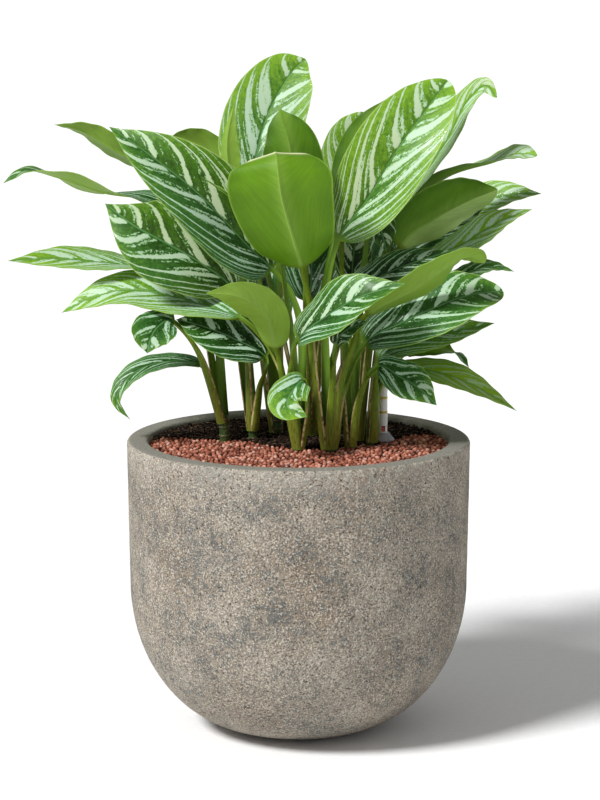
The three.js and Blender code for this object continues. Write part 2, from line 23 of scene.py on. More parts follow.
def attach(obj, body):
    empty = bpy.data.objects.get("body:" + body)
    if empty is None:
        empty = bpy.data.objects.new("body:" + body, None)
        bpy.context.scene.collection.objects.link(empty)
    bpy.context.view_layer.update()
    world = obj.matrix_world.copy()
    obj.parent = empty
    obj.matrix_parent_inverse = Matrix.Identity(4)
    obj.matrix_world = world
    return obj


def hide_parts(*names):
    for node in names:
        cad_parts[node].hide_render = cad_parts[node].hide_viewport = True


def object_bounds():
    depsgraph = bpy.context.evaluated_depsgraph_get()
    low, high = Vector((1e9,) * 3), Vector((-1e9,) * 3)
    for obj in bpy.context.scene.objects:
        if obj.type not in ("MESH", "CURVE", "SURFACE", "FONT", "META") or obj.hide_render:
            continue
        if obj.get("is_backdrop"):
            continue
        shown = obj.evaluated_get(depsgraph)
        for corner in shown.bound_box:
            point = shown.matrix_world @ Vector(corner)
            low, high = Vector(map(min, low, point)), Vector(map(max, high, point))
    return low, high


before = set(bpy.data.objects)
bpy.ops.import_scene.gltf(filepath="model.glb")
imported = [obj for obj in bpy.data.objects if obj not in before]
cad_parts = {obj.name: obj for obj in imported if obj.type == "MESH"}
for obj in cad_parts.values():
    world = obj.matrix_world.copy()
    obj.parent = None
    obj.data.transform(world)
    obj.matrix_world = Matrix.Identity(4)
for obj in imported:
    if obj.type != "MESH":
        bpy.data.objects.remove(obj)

LOG = logging.getLogger("plant")
MM = 0.001
GAP = 0.35
AXIS = 0.01
RING_BULGE = 1.06

Point = tuple[float, float, float]
Number = Union["Signal", float, int]
Value = Union["Signal", float, int, bool, str, Sequence[float], bpy.types.Material]


def srgb(red: int, green: int, blue: int) -> Point:
    """Turns a colour as a screen shows it, 0 to 255, into the linear values that a shader takes."""
    shares = [channel / 255 for channel in (red, green, blue)]
    return tuple(v / 12.92 if v <= 0.04045 else ((v + 0.055) / 1.055) ** 2.4 for v in shares)


class Signal:
    """One socket's value in a node tree, on which Python's operators work."""

    def __init__(self, graph: Graph, socket: bpy.types.NodeSocket) -> None:
        """Wraps an output socket of a graph."""
        self.graph = graph
        self.socket = socket

    def __add__(self, other: Number) -> Signal:
        """Adds."""
        return self.graph.maths("ADD", self, other)

    def __radd__(self, other: Number) -> Signal:
        """Adds, with a plain number first."""
        return self.graph.maths("ADD", other, self)

    def __sub__(self, other: Number) -> Signal:
        """Subtracts."""
        return self.graph.maths("SUBTRACT", self, other)

    def __rsub__(self, other: Number) -> Signal:
        """Subtracts from a plain number."""
        return self.graph.maths("SUBTRACT", other, self)

    def __mul__(self, other: Number) -> Signal:
        """Multiplies."""
        return self.graph.maths("MULTIPLY", self, other)

    def __rmul__(self, other: Number) -> Signal:
        """Multiplies a plain number."""
        return self.graph.maths("MULTIPLY", other, self)

    def __truediv__(self, other: Number) -> Signal:
        """Divides."""
        return self.graph.maths("DIVIDE", self, other)

    def __pow__(self, other: Number) -> Signal:
        """Raises to a power."""
        return self.graph.maths("POWER", self, other)

    def __abs__(self) -> Signal:
        """Drops the sign."""
        return self.graph.maths("ABSOLUTE", self)

    def over(self, low: Number, high: Number) -> Signal:
        """Rises smoothly from 0 at low to 1 at high.

        Args:
            low: Where the rise begins.
            high: Where it ends.

        Returns:
            The share, from 0 to 1.
        """
        settings = {"interpolation_type": "SMOOTHSTEP"}
        limits = {0: self, 1: low, 2: high, 3: 0.0, 4: 1.0}
        return self.graph.node("ShaderNodeMapRange", settings, limits)

    def most(self, other: Number) -> Signal:
        """Takes the larger of the two."""
        return self.graph.maths("MAXIMUM", self, other)

    def fraction(self) -> Signal:
        """Keeps what follows the decimal point."""
        return self.graph.maths("FRACT", self)


class Graph:
    """A node tree under construction."""

    def __init__(self, tree: bpy.types.NodeTree) -> None:
        """Starts on an empty shader or geometry tree."""
        self.tree = tree

    def node(
        self,
        kind: str,
        settings: Optional[dict[str, object]] = None,
        inputs: Optional[dict[Union[int, str], Value]] = None,
        output: Union[int, str] = 0,
    ) -> Signal:
        """Adds any node. Its settings go in before its sockets.

        Args:
            kind: The node's type.
            settings: The node's own properties, with a ramp's stops under "stops".
            inputs: A value or a link for each socket, by place or by name.
            output: The output that is wanted, by place or by name.

        Returns:
            That output.
        """
        made = self.tree.nodes.new(kind)
        for key, value in (settings or {}).items():
            if key == "stops":
                self._set_stops(made.color_ramp, value)
            else:
                setattr(made, key, value)
        for key, value in (inputs or {}).items():
            if isinstance(value, Signal):
                self.tree.links.new(value.socket, made.inputs[key])
            else:
                made.inputs[key].default_value = value
        return Signal(self, (made.outputs or made.inputs)[output])

    @staticmethod
    def _set_stops(ramp: bpy.types.ColorRamp, stops: Sequence[tuple[float, Point]]) -> None:
        """Gives a ramp its stops.

        Args:
            ramp: The ramp.
            stops: Each stop's place and colour, from low to high.
        """
        while len(ramp.elements) < len(stops):
            ramp.elements.new(1.0)
        for element, (place, colour) in zip(ramp.elements, stops):
            element.position = place
            element.color = (*colour, 1.0)

    def combine(self, x: Number, y: Number, z: Number = 0.0) -> Signal:
        """Makes a vector of three numbers."""
        return self.node("ShaderNodeCombineXYZ", None, {0: x, 1: y, 2: z})

    def split(self, vector: Signal) -> tuple[Signal, Signal, Signal]:
        """Takes a vector apart into its X, Y and Z."""
        made = self.node("ShaderNodeSeparateXYZ", None, {0: vector}).socket.node
        return tuple(Signal(self, made.outputs[i]) for i in range(3))

    def maths(self, operation: str, *values: Number) -> Signal:
        """Adds a Math node, with what goes into its sockets in order."""
        return self.node("ShaderNodeMath", {"operation": operation}, dict(enumerate(values)))

    def vector(self, operation: str, *values: Value) -> Signal:
        """Adds a Vector Math node, with what goes into its sockets in order."""
        return self.node("ShaderNodeVectorMath", {"operation": operation}, dict(enumerate(values)))

    def scaled(self, vector: Signal, factor: Number) -> Signal:
        """Multiplies a vector or a colour by a number."""
        return self.node("ShaderNodeVectorMath", {"operation": "SCALE"}, {0: vector, 3: factor})

    def noise(self, place: Signal, scale: float, detail: float = 2.0, rough: float = 0.5) -> Signal:
        """Adds noise around 0.5, with its number of finer layers and how strong they are."""
        inputs = {"Vector": place, "Scale": scale, "Detail": detail, "Roughness": rough}
        return self.node("ShaderNodeTexNoise", None, inputs)


class Paint(Graph):
    """A material's node tree."""

    def mix(self, first: Union[Signal, Point], second: Union[Signal, Point], share: Number) -> Signal:
        """Mixes two colours.

        Args:
            first: The colour at 0.
            second: The colour at 1.
            share: How much of the second.

        Returns:
            The mixed colour.
        """
        a, b = (c if isinstance(c, Signal) else (*c, 1.0) for c in (first, second))
        settings = {"data_type": "RGBA", "clamp_factor": True}
        return self.node("ShaderNodeMix", settings, {0: share, 6: a, 7: b}, 2)

    def ramp(self, share: Signal, stops: Sequence[tuple[float, Point]]) -> Signal:
        """Turns a number into a colour by a ramp's stops."""
        return self.node("ShaderNodeValToRGB", {"stops": stops}, {0: share})

    def place(self) -> Signal:
        """Reads where on the object a point is, in metres."""
        return self.node("ShaderNodeTexCoord", None, None, "Object")

    def chart(self, name: str) -> tuple[Signal, Signal]:
        """Reads the two coordinates of one of the piece's own UV maps."""
        x, y, _ = self.split(self.node("ShaderNodeUVMap", {"uv_map": name}))
        return x, y

    def value(self, name: str) -> Signal:
        """Reads one of the piece's own attributes as a number."""
        settings = {"attribute_type": "GEOMETRY", "attribute_name": name}
        return self.node("ShaderNodeAttribute", settings, None, "Fac")

    def bump(self, height: Signal, strength: float, distance: float) -> Signal:
        """Turns a height into a normal. The height is a share of the distance, in metres."""
        inputs = {"Strength": strength, "Distance": distance, "Height": height}
        return self.node("ShaderNodeBump", None, inputs)


@dataclass(frozen=True)
class Finish:
    """A surface finish. Each kind says in look() how its colour and relief vary."""

    name: str
    roughness: float = 0.5
    specular: float = 0.5
    coat: float = 0.0

    def look(self, paint: Paint) -> dict[str, Value]:
        """Says what goes into the shader's sockets: a value or a link for each, by name."""
        raise NotImplementedError

    def material(self) -> bpy.types.Material:
        """Builds the material the first time, and returns the same one after that.

        Returns:
            The material.
        """
        if self.name in bpy.data.materials:
            return bpy.data.materials[self.name]
        made = bpy.data.materials.new(self.name)
        made.use_nodes = True
        made.node_tree.nodes.clear()
        paint = Paint(made.node_tree)
        sockets: dict[Union[int, str], Value] = {
            "Roughness": self.roughness,
            "Specular IOR Level": self.specular,
            "Coat Weight": self.coat,
        }
        sockets.update(self.look(paint))
        shader = paint.node("ShaderNodeBsdfPrincipled", None, sockets)
        paint.node("ShaderNodeOutputMaterial", None, {"Surface": shader})
        return made


class LeafMaps:
    """What both finishes of a leaf read of its shape."""

    def __init__(self, paint: Paint) -> None:
        """Reads the maps: the vein and how far along it, the way to the tip, and the place across.

        Args:
            paint: The material's tree.
        """
        self.paint = paint
        self.turn, self.run = paint.chart("veins")
        self.along, across = paint.chart("blade")
        self.side = abs(across)
        self.beside = abs(paint.value("offset"))
        self.blade = paint.value("flat")

    def drawn_out(self, fine: float, long: float, detail: float = 3.0, rough: float = 0.6) -> Signal:
        """Makes noise around 0.5 that is fine across the veins and long along them."""
        place = self.paint.combine(self.turn * fine, self.run * long)
        return self.paint.noise(place, 1.0, detail, rough)


@dataclass(frozen=True)
class StripedSkin(Finish):
    """The upper side of a leaf: green, darkest beside the midrib, with ragged pale stripes, and a painted
    sky reflection that makes it bluer where it faces up.

    The numbers say how far the stripes wander, and how much each pattern counts in them.
    """

    name: str = "leaf_upper"
    roughness: float = 0.43
    specular: float = 0.22
    coat: float = 0.04
    deep: Point = srgb(12, 42, 0)
    middle: Point = srgb(66, 108, 0)
    bright: Point = srgb(122, 166, 40)
    yellowish: Point = srgb(138, 172, 26)
    sheen_green: Point = srgb(54, 108, 50)
    stripe: Point = srgb(190, 206, 164)
    stripe_sheen: Point = srgb(178, 210, 188)
    stripe_edge: Point = srgb(142, 182, 130)
    midrib: Point = srgb(92, 142, 84)
    margin: Point = srgb(170, 196, 110)
    stalk: Point = srgb(108, 142, 44)
    wander: float = 0.9
    broad: float = 0.25
    thin: float = 0.14
    patchy: float = 0.68
    torn: float = 0.56
    nibbled: float = 0.55

    def _stripes(self, paint: Paint, leaf: LeafMaps) -> Signal:
        """Draws stripes along the veins: a broad one, then two thin broken ones, all torn at the edges.

        Args:
            paint: The material's tree.
            leaf: The leaf's maps.

        Returns:
            How strongly a point belongs to a stripe, around 0 at an edge.
        """
        wander = leaf.drawn_out(0.7, 0.12, 2.0, 0.5) - 0.5
        wave = (leaf.turn + wander * self.wander) * (2.0 * math.pi)
        broad = paint.maths("COSINE", wave)
        thin = paint.maths("COSINE", wave * 3.0 + 0.5)
        patchy = leaf.drawn_out(1.5, 0.2, 1.0, 0.5) - 0.5
        torn = leaf.drawn_out(9.0, 1.6) - 0.5
        nibbled = paint.noise(paint.place(), 480.0, 3.0, 0.65) - 0.5
        wavy = broad * self.broad + thin * self.thin
        return wavy + patchy * self.patchy + torn * self.torn + nibbled * self.nibbled

    def look(self, paint: Paint) -> dict[str, Value]:
        """Says what goes into the shader's sockets.

        Args:
            paint: The material's tree.

        Returns:
            A value or a link for each socket, by name.
        """
        leaf = LeafMaps(paint)
        side = leaf.side
        pale, light, lime = (paint.value(name) for name in ("pale", "light", "lime"))
        rib = 1.0 - leaf.beside.over(0.4, 1.2)
        level = self._stripes(paint, leaf) + pale * 0.12 - 0.04
        level = level - 0.18 * side * side - 0.25 * (1.0 - leaf.beside.over(0.8, 3.0))
        mark = level.over(0.0, 0.06) * (1.0 - 0.55 * side.over(0.93, 1.0))
        mark = mark * leaf.blade.over(0.5, 1.0) * (1.0 - 0.8 * lime)
        streak = leaf.drawn_out(9.0, 0.6)
        mottle = paint.noise(paint.place(), 260.0, 3.0, 0.6) - 0.5
        # The leaf's light value is partly painted light and shade: brighter for sunlit leaves, deeper for
        # shaded ones.
        fresh = side.over(0.1, 1.1) * 0.3 + leaf.along * 0.3 + light
        fresh = fresh + (streak - 0.5) * 0.7 + mottle * 0.7 + 0.06
        warm, sheened = (
            paint.ramp(fresh, ((0.0, self.deep), (0.5, middle), (1.0, self.bright)))
            for middle in (self.middle, self.sheen_green)
        )
        # Painted sky reflection: where the upper side faces up it takes a bluer green and cooler stripes,
        # less towards the tip.
        sky_sheen = paint.value("sky_sheen") * (1.0 - leaf.along * 0.6)
        green = paint.mix(warm, sheened, sky_sheen)
        green = paint.mix(green, self.yellowish, lime)
        green = paint.mix(green, self.midrib, rib * 0.65)
        stripe = paint.mix(self.stripe, self.stripe_sheen, sky_sheen)
        stripe = paint.mix(self.stripe_edge, stripe, level.over(0.02, 0.2))
        green = paint.mix(green, stripe, mark * (0.8 + 0.2 * pale) * (1.0 - rib))
        green = paint.mix(green, self.margin, side.over(0.96, 0.99) * 0.6)
        grain = paint.noise(paint.place(), 700.0, 2.0)
        stalk = paint.scaled(paint.mix(self.stalk, self.middle, grain * 0.4), 0.8 + 0.4 * grain)
        colour = paint.mix(stalk, green, leaf.blade)
        relief = streak * 0.8 - 0.5 * rib + mark * 0.15
        return {"Base Color": colour, "Normal": paint.bump(relief, 0.3, 0.0011)}


@dataclass(frozen=True)
class PlainSkin(Finish):
    """The underside of a leaf, and its petiole: plain green with a paler raised midrib."""

    name: str = "leaf_underside"
    roughness: float = 0.5
    specular: float = 0.18
    fresh: Point = srgb(92, 134, 18)
    dark: Point = srgb(54, 94, 6)
    lime: Point = srgb(138, 172, 66)
    silvery: Point = srgb(156, 186, 104)
    midrib: Point = srgb(138, 172, 74)
    stalk: Point = srgb(102, 126, 22)
    foot: Point = srgb(126, 130, 48)
    shade_side: Point = srgb(60, 76, 14)
    hem: Point = srgb(196, 176, 120)
    scorch: Point = srgb(112, 74, 58)
    crest: Point = srgb(236, 236, 190)

    def look(self, paint: Paint) -> dict[str, Value]:
        """Says what goes into the shader's sockets.

        Args:
            paint: The material's tree.

        Returns:
            A value or a link for each socket, by name.
        """
        leaf = LeafMaps(paint)
        place = paint.place()
        cloud = paint.noise(place, 26.0, 4.0, 0.6) - 0.5
        streak = leaf.drawn_out(6.0, 0.35)
        edge = leaf.side.over(0.5, 1.0) * 0.35
        green = paint.mix(self.fresh, self.dark, paint.value("under_deep") + cloud * 1.3 + edge)
        green = paint.mix(green, self.lime, paint.value("under_lime") + cloud * 0.3)
        green = paint.mix(green, self.silvery, paint.value("under_silvery"))
        green = paint.mix(green, self.midrib, (1.0 - leaf.beside.over(0.0, 14.0)) * 0.3)
        green = paint.scaled(green, 0.72 + 0.56 * streak)
        rib_width = (2.2 - 1.9 * leaf.along).most(0.4)
        rib = 1.0 - (leaf.beside / rib_width).over(0.45, 1.2)
        green = paint.mix(green, self.midrib, rib * (0.9 - leaf.along))
        green = paint.mix(green, self.lime, leaf.side.over(0.95, 1.0) * 0.6)
        green = paint.mix(green, self.crest, paint.value("crest"))
        grain = paint.noise(paint.vector("MULTIPLY", place, (900.0, 900.0, 90.0)), 1.0, 3.0)
        base = paint.value("base")
        stalk = paint.mix(self.stalk, self.foot, base)
        stalk = paint.mix(stalk, self.shade_side, grain.over(0.45, 0.7) * 0.6)
        scorched = paint.noise(place, 150.0, 2.0).over(0.46, 0.58)
        hem = paint.mix(self.hem, self.scorch, scorched * (0.3 + 0.7 * base))
        stalk = paint.mix(stalk, hem, leaf.side.over(0.84, 0.95) * paint.value("sheath"))
        colour = paint.mix(stalk, green, leaf.blade)
        relief = streak * 0.7 + grain * 0.3
        return {"Base Color": colour, "Normal": paint.bump(relief, 0.25, 0.0009)}


@dataclass(frozen=True)
class CaneSkin(Finish):
    """A short trunk: dark green, with the pale rings of fallen leaves."""

    name: str = "cane_skin"
    roughness: float = 0.55
    green: Point = srgb(44, 66, 22)
    light: Point = srgb(96, 118, 44)
    scar: Point = srgb(140, 104, 84)

    def look(self, paint: Paint) -> dict[str, Value]:
        """Says what goes into the shader's sockets.

        Args:
            paint: The material's tree.

        Returns:
            A value or a link for each socket, by name.
        """
        place = paint.place()
        grain = paint.noise(paint.vector("MULTIPLY", place, (500.0, 500.0, 120.0)), 1.0, 4.0, 0.6)
        ring = paint.value("ring")
        green = paint.mix(self.green, self.light, grain.over(0.4, 0.75) * 0.6)
        scar = ring.over(0.55, 0.9) * paint.noise(place, 420.0, 2.0).over(0.35, 0.6)
        colour = paint.mix(green, self.scar, scar)
        return {"Base Color": colour, "Normal": paint.bump(grain + ring * 0.5, 0.4, 0.0008)}


@dataclass(frozen=True)
class Composite(Finish):
    """The pot's skin: pitted and gritty outside, smoother on the lip and inside, where it is darkened with
    painted shade and soil.

    Levels and radii are in metres, and say where a change begins and where it ends.
    """

    name: str = "pot_composite"
    roughness: float = 0.93
    specular: float = 0.25
    sand: Point = srgb(158, 149, 136)
    tan: Point = srgb(136, 121, 104)
    slate: Point = srgb(98, 101, 100)
    cream: Point = srgb(208, 201, 187)
    pit: Point = srgb(48, 44, 40)
    fleck: Point = srgb(240, 230, 206)
    lip: Point = srgb(134, 131, 122)
    inside: Point = srgb(80, 77, 71)
    foot_edge: tuple[float, float] = (0.04, 0.045)
    wear_level: tuple[float, float] = (0.268, 0.2965)
    lip_level: tuple[float, float] = (0.2935, 0.2955)
    lip_corner: tuple[float, float] = (0.1722, 0.1736)
    mouth_level: tuple[float, float] = (0.292, 0.2955)
    mouth: tuple[float, float] = (0.1535, 0.156)
    cavity_level: tuple[float, float] = (0.15, 0.2)

    def look(self, paint: Paint) -> dict[str, Value]:
        """Says what goes into the shader's sockets.

        Args:
            paint: The material's tree.

        Returns:
            A value or a link for each socket, by name.
        """
        place = paint.place()
        x, y, z = paint.split(place)
        radius = (x * x + y * y) ** 0.5
        below_lip = (1.0 - z.over(*self.lip_level)).most(radius.over(*self.lip_corner))
        within = (1.0 - z.over(*self.mouth_level)) * (1.0 - radius.over(*self.mouth))
        gritty = below_lip * radius.over(*self.foot_edge) * (1.0 - within * z.over(*self.cavity_level))
        fine = paint.noise(place, 560.0, 2.0, 0.7) - 0.5
        grit = paint.noise(paint.vector("ADD", place, (2.3, 0.6, 1.9)), 330.0, 3.0, 0.7) - 0.5
        coarse = paint.noise(place, 150.0, 3.0, 0.65) - 0.5
        patch = paint.noise(place, 24.0, 3.0, 0.6) - 0.5
        wash = paint.noise(paint.vector("ADD", place, (3.1, 1.7, 0.4)), 11.0, 3.0, 0.6) - 0.5
        body = paint.mix(self.sand, self.tan, (wash * 1.6 + grit * 1.6 + 0.35).over(0.1, 0.9))
        stony = (patch * 0.65 + coarse * 0.9 + grit * 1.2).over(0.0, 0.13)
        body = paint.mix(body, self.slate, stony * 0.8)
        chalky = (fine * 1.3 + grit * 0.5 - patch * 0.3).over(0.06, 0.16)
        body = paint.mix(body, self.cream, chalky * 0.8)
        body = paint.mix(body, self.pit, (grit * -1.2 - fine * 0.8).over(0.11, 0.2) * 0.85)
        flecks = paint.noise(place, 980.0, 1.0).over(0.68, 0.74)
        body = paint.mix(body, self.fleck, flecks * 0.85)
        wear = z.over(*self.wear_level) * (coarse + grit * 0.6 + 0.5).over(0.4, 0.6)
        body = paint.mix(body, self.cream, wear * 0.4)
        lip = paint.scaled(self.lip, 1.0 + 0.7 * grit + 0.6 * fine + 0.3 * coarse)
        lip = paint.mix(lip, self.pit, (fine * -1.0 - grit * 0.4).over(0.12, 0.22) * 0.6)
        lip = paint.mix(lip, self.cream, (grit + patch * 0.6).over(0.1, 0.22) * 0.4)
        # Painted shade and soil: the inner wall within the mouth is darkened.
        lip = paint.mix(lip, self.inside, within * 0.85)
        height = fine * 0.3 + grit * 0.7 + coarse * 0.8
        return {
            "Base Color": paint.mix(lip, body, gritty),
            "Roughness": 0.8 + 0.15 * gritty,
            "Normal": paint.bump(height * (0.25 + 0.75 * gritty), 1.0, 0.0035),
        }


@dataclass(frozen=True)
class FiredClay(Finish):
    """The granules: unglazed fired clay, each ball a little different, with painted shade that darkens all
    below the lit level, in the gaps between balls.
    """

    name: str = "fired_clay"
    roughness: float = 0.88
    specular: float = 0.3
    # The balls' own varied colour, with painted highlights in the pale and purplish top stops and painted
    # shade in the darkest one.
    stops: tuple[tuple[float, Point], ...] = (
        (0.0, srgb(84, 44, 40)),
        (0.25, srgb(138, 76, 58)),
        (0.5, srgb(180, 106, 82)),
        (0.75, srgb(210, 140, 116)),
        (0.9, srgb(224, 176, 158)),
        (1.0, srgb(144, 110, 118)),
    )
    lit_level: tuple[float, float] = (0.2898, 0.2945)

    def look(self, paint: Paint) -> dict[str, Value]:
        """Says what goes into the shader's sockets.

        Args:
            paint: The material's tree.

        Returns:
            A value or a link for each socket, by name.
        """
        place = paint.place()
        grain = paint.noise(place, 900.0, 2.0)
        _, _, z = paint.split(place)
        colour = paint.ramp(paint.value("chance") * 0.8 + grain * 0.4 - 0.1, self.stops)
        # Painted shade: the lower a point lies under the top of the bed, the darker it is.
        lit = 0.06 + 0.94 * z.over(*self.lit_level)
        colour = paint.scaled(colour, lit * (0.75 + 0.5 * grain))
        return {"Base Color": colour, "Normal": paint.bump(grain, 0.5, 0.0006)}


@dataclass(frozen=True)
class Loam(Finish):
    """The planting mix: nearly black, with brown crumbs."""

    name: str = "planting_mix"
    roughness: float = 0.97
    specular: float = 0.15
    black: Point = srgb(18, 12, 9)
    brown: Point = srgb(66, 44, 32)
    chaff: Point = srgb(170, 146, 120)

    def look(self, paint: Paint) -> dict[str, Value]:
        """Says what goes into the shader's sockets.

        Args:
            paint: The material's tree.

        Returns:
            A value or a link for each socket, by name.
        """
        place = paint.place()
        crumb = paint.noise(place, 300.0, 4.0, 0.65)
        colour = paint.mix(self.black, self.brown, crumb.over(0.46, 0.7))
        colour = paint.mix(colour, self.chaff, paint.noise(place, 640.0, 1.0).over(0.72, 0.76) * 0.7)
        return {"Base Color": colour, "Normal": paint.bump(crumb, 0.9, 0.002)}


@dataclass(frozen=True)
class Fibre(Finish):
    """Pale root and coir fibres in the mix."""

    name: str = "mix_fibre"
    roughness: float = 0.85
    pale: Point = srgb(150, 122, 92)
    brown: Point = srgb(74, 50, 34)

    def look(self, paint: Paint) -> dict[str, Value]:
        """Says what goes into the shader's sockets.

        Args:
            paint: The material's tree.

        Returns:
            A value or a link for each socket, by name.
        """
        grain = paint.noise(paint.place(), 400.0, 2.0)
        colour = paint.mix(self.brown, self.pale, paint.value("chance") * 0.7 + grain * 0.3)
        return {"Base Color": colour, "Roughness": 0.75 + 0.2 * grain}


@dataclass(frozen=True)
class Moulding(Finish):
    """Moulded plastic of one colour, with slight clouding and handling marks."""

    name: str = "moulding"
    roughness: float = 0.35
    coat: float = 0.1
    base: Point = srgb(236, 238, 242)
    dull: Point = srgb(212, 214, 222)
    clear: float = 0.0

    def look(self, paint: Paint) -> dict[str, Value]:
        """Says what goes into the shader's sockets.

        Args:
            paint: The material's tree.

        Returns:
            A value or a link for each socket, by name.
        """
        cloud = paint.noise(paint.place(), 130.0, 3.0)
        sockets: dict[str, Value] = {
            "Base Color": paint.mix(self.base, self.dull, cloud.over(0.35, 0.75)),
            "Roughness": self.roughness + (cloud - 0.5) * 0.2,
        }
        if self.clear > 0:
            sockets["Alpha"] = 1.0 - self.clear * cloud.over(0.0, 0.5)
        return sockets


class Recipe(Graph):
    """A Geometry Nodes tree with named sizes, which makes one kind of piece."""

    KINDS = {float: "NodeSocketFloat", int: "NodeSocketInt", bpy.types.Material: "NodeSocketMaterial"}

    def __init__(self, name: str) -> None:
        """Starts an empty tree.

        Args:
            name: The tree's name.
        """
        super().__init__(bpy.data.node_groups.new(name, "GeometryNodeTree"))
        for way in ("INPUT", "OUTPUT"):
            self.tree.interface.new_socket("Geometry", in_out=way, socket_type="NodeSocketGeometry")
        self.entry = self.tree.nodes.new("NodeGroupInput")
        self.identifiers: dict[str, str] = {}
        self.source = Signal(self, self.entry.outputs["Geometry"])
        self.finish = self.size("Finish", bpy.types.Material)

    def size(self, name: str, kind: type) -> Signal:
        """Adds a named input.

        Args:
            name: The input's name.
            kind: float, int or Material.

        Returns:
            Its value.
        """
        made = self.tree.interface.new_socket(name, in_out="INPUT", socket_type=self.KINDS[kind])
        self.identifiers[name] = made.identifier
        return Signal(self, self.entry.outputs[name])

    def chance(self, seed: Number, low: float = 0.0, high: float = 1.0) -> Signal:
        """Gives each point or instance a random number by a fixed seed."""
        settings = {"data_type": "FLOAT"}
        return self.node("FunctionNodeRandomValue", settings, {2: low, 3: high, "Seed": seed}, 1)

    def moved(self, geometry: Signal, offset: Signal) -> Signal:
        """Moves each point by an offset."""
        return self.node("GeometryNodeSetPosition", None, {"Geometry": geometry, "Offset": offset})

    def raised(self, geometry: Signal, height: Signal) -> Signal:
        """Moves each point out along its normal."""
        return self.moved(geometry, self.scaled(self.node("GeometryNodeInputNormal"), height))

    def position(self) -> Signal:
        """Reads where each point is."""
        return self.node("GeometryNodeInputPosition")

    def sphere(self, segments: int, rings: int) -> Signal:
        """Makes a plain ball of radius 1, to be strewn."""
        inputs = {"Segments": segments, "Rings": rings, "Radius": 1.0}
        return self.node("GeometryNodeMeshUVSphere", None, inputs)

    def store(self, geometry: Signal, name: str, value: Signal) -> Signal:
        """Keeps a number on each point under a name that a finish can read."""
        inputs = {"Geometry": geometry, "Name": name, "Value": value}
        return self.node("GeometryNodeStoreNamedAttribute", {"data_type": "FLOAT"}, inputs)

    def close(self, geometry: Signal) -> None:
        """Ends the tree: real geometry, smooth, with its finish.

        Args:
            geometry: What the tree has made.
        """
        smooth = self.node("GeometryNodeSetShadeSmooth", None, {"Geometry": geometry})
        real = self.node("GeometryNodeRealizeInstances", None, {"Geometry": smooth})
        dressed = self.node("GeometryNodeSetMaterial", None, {"Geometry": real, "Material": self.finish})
        self.node("NodeGroupOutput", None, {"Geometry": dressed})

    def make(self, name: str, start: bpy.types.Mesh, sizes: dict[str, object]) -> bpy.types.Object:
        """Runs the tree on a start mesh and keeps the result as a plain mesh.

        Args:
            name: The piece's name.
            start: The mesh that the tree starts from.
            sizes: A value for each named input.

        Returns:
            The piece, with no modifier.
        """
        piece = placed(name, start)
        modifier = piece.modifiers.new(name, "NODES")
        modifier.node_group = self.tree
        for key, value in sizes.items():
            modifier[self.identifiers[key]] = value
        settle(piece, modifier)
        return piece


def placed(name: str, data: Union[bpy.types.Mesh, bpy.types.Light, bpy.types.Camera]) -> bpy.types.Object:
    """Makes an object and puts it in the scene.

    Args:
        name: Its name.
        data: Its mesh, light or camera.

    Returns:
        The object.
    """
    made = bpy.data.objects.new(name, data)
    bpy.context.scene.collection.objects.link(made)
    return made


def settle(piece: bpy.types.Object, modifier: bpy.types.Modifier) -> None:
    """Turns what a modifier makes into the piece's own plain mesh.

    Args:
        piece: The piece.
        modifier: Its modifier, which is removed.
    """
    bpy.context.view_layer.update()
    depsgraph = bpy.context.evaluated_depsgraph_get()
    piece_now = piece.evaluated_get(depsgraph)
    mesh = bpy.data.meshes.new_from_object(piece_now, preserve_all_data_layers=True, depsgraph=depsgraph)
    piece.modifiers.remove(modifier)
    piece.data = mesh
    mesh.name = piece.name


def mesh_of(
    name: str,
    points: Sequence[Sequence[float]],
    faces: Sequence[Sequence[int]] = (),
    edges: Sequence[tuple[int, int]] = (),
) -> bpy.types.Mesh:
    """Makes a mesh of points in millimetres.

    Args:
        name: The mesh's name.
        points: Its points.
        faces: Its faces, as point numbers.
        edges: Its loose edges.

    Returns:
        The mesh, in metres.
    """
    made = bpy.data.meshes.new(name)
    made.from_pydata([[v * MM for v in p] for p in points], edges, faces)
    made.update()
    return made


def outward(piece: bpy.types.Object) -> None:
    """Merges a closed piece's doubles and turns its faces outwards.

    Args:
        piece: The piece.
    """
    work = bmesh.new()
    work.from_mesh(piece.data)
    bmesh.ops.remove_doubles(work, verts=work.verts, dist=1e-6)
    bmesh.ops.recalc_face_normals(work, faces=work.faces)
    work.to_mesh(piece.data)
    work.free()


def turning_recipe() -> Recipe:
    """Makes the tree that turns a profile into a round body.

    The start mesh's points are the profile, in the plane of X and Z.

    Returns:
        The recipe.
    """
    recipe = Recipe("turned_body")
    sides = recipe.size("Sides", int)
    grit = recipe.size("Grit", float)
    fineness = recipe.size("Grit fineness", float)
    grit_top = recipe.size("Grit top", float)
    settings = {"component": "MESH"}
    count = recipe.node("GeometryNodeAttributeDomainSize", settings, {0: recipe.source}, "Point Count")
    grid = recipe.node("GeometryNodeMeshGrid", None, {"Vertices X": sides + 1, "Vertices Y": count})
    index = recipe.node("GeometryNodeInputIndex")
    row = recipe.maths("MODULO", index, count)
    column = recipe.maths("FLOOR", (index + 0.5) / count)
    turn = column * (2.0 * math.pi) / sides
    settings = {"data_type": "FLOAT_VECTOR", "domain": "POINT"}
    profile = {"Geometry": recipe.source, "Value": recipe.position(), "Index": row + 0.25}
    radius, _, height = recipe.split(recipe.node("GeometryNodeSampleIndex", settings, profile))
    x, y = (radius * recipe.maths(way, turn) for way in ("COSINE", "SINE"))
    target = {"Geometry": grid, "Position": recipe.combine(x, y, height)}
    body = recipe.node("GeometryNodeSetPosition", None, target)
    body = recipe.node("GeometryNodeMergeByDistance", None, {"Geometry": body, "Distance": 1e-5})
    here = recipe.position()
    _, _, level = recipe.split(here)
    rough = recipe.noise(recipe.scaled(here, fineness), 1.0, 4.0, 0.6) - 0.5
    recipe.close(recipe.raised(body, rough * grit * (1.0 - level.over(grit_top - 0.006, grit_top))))
    return recipe


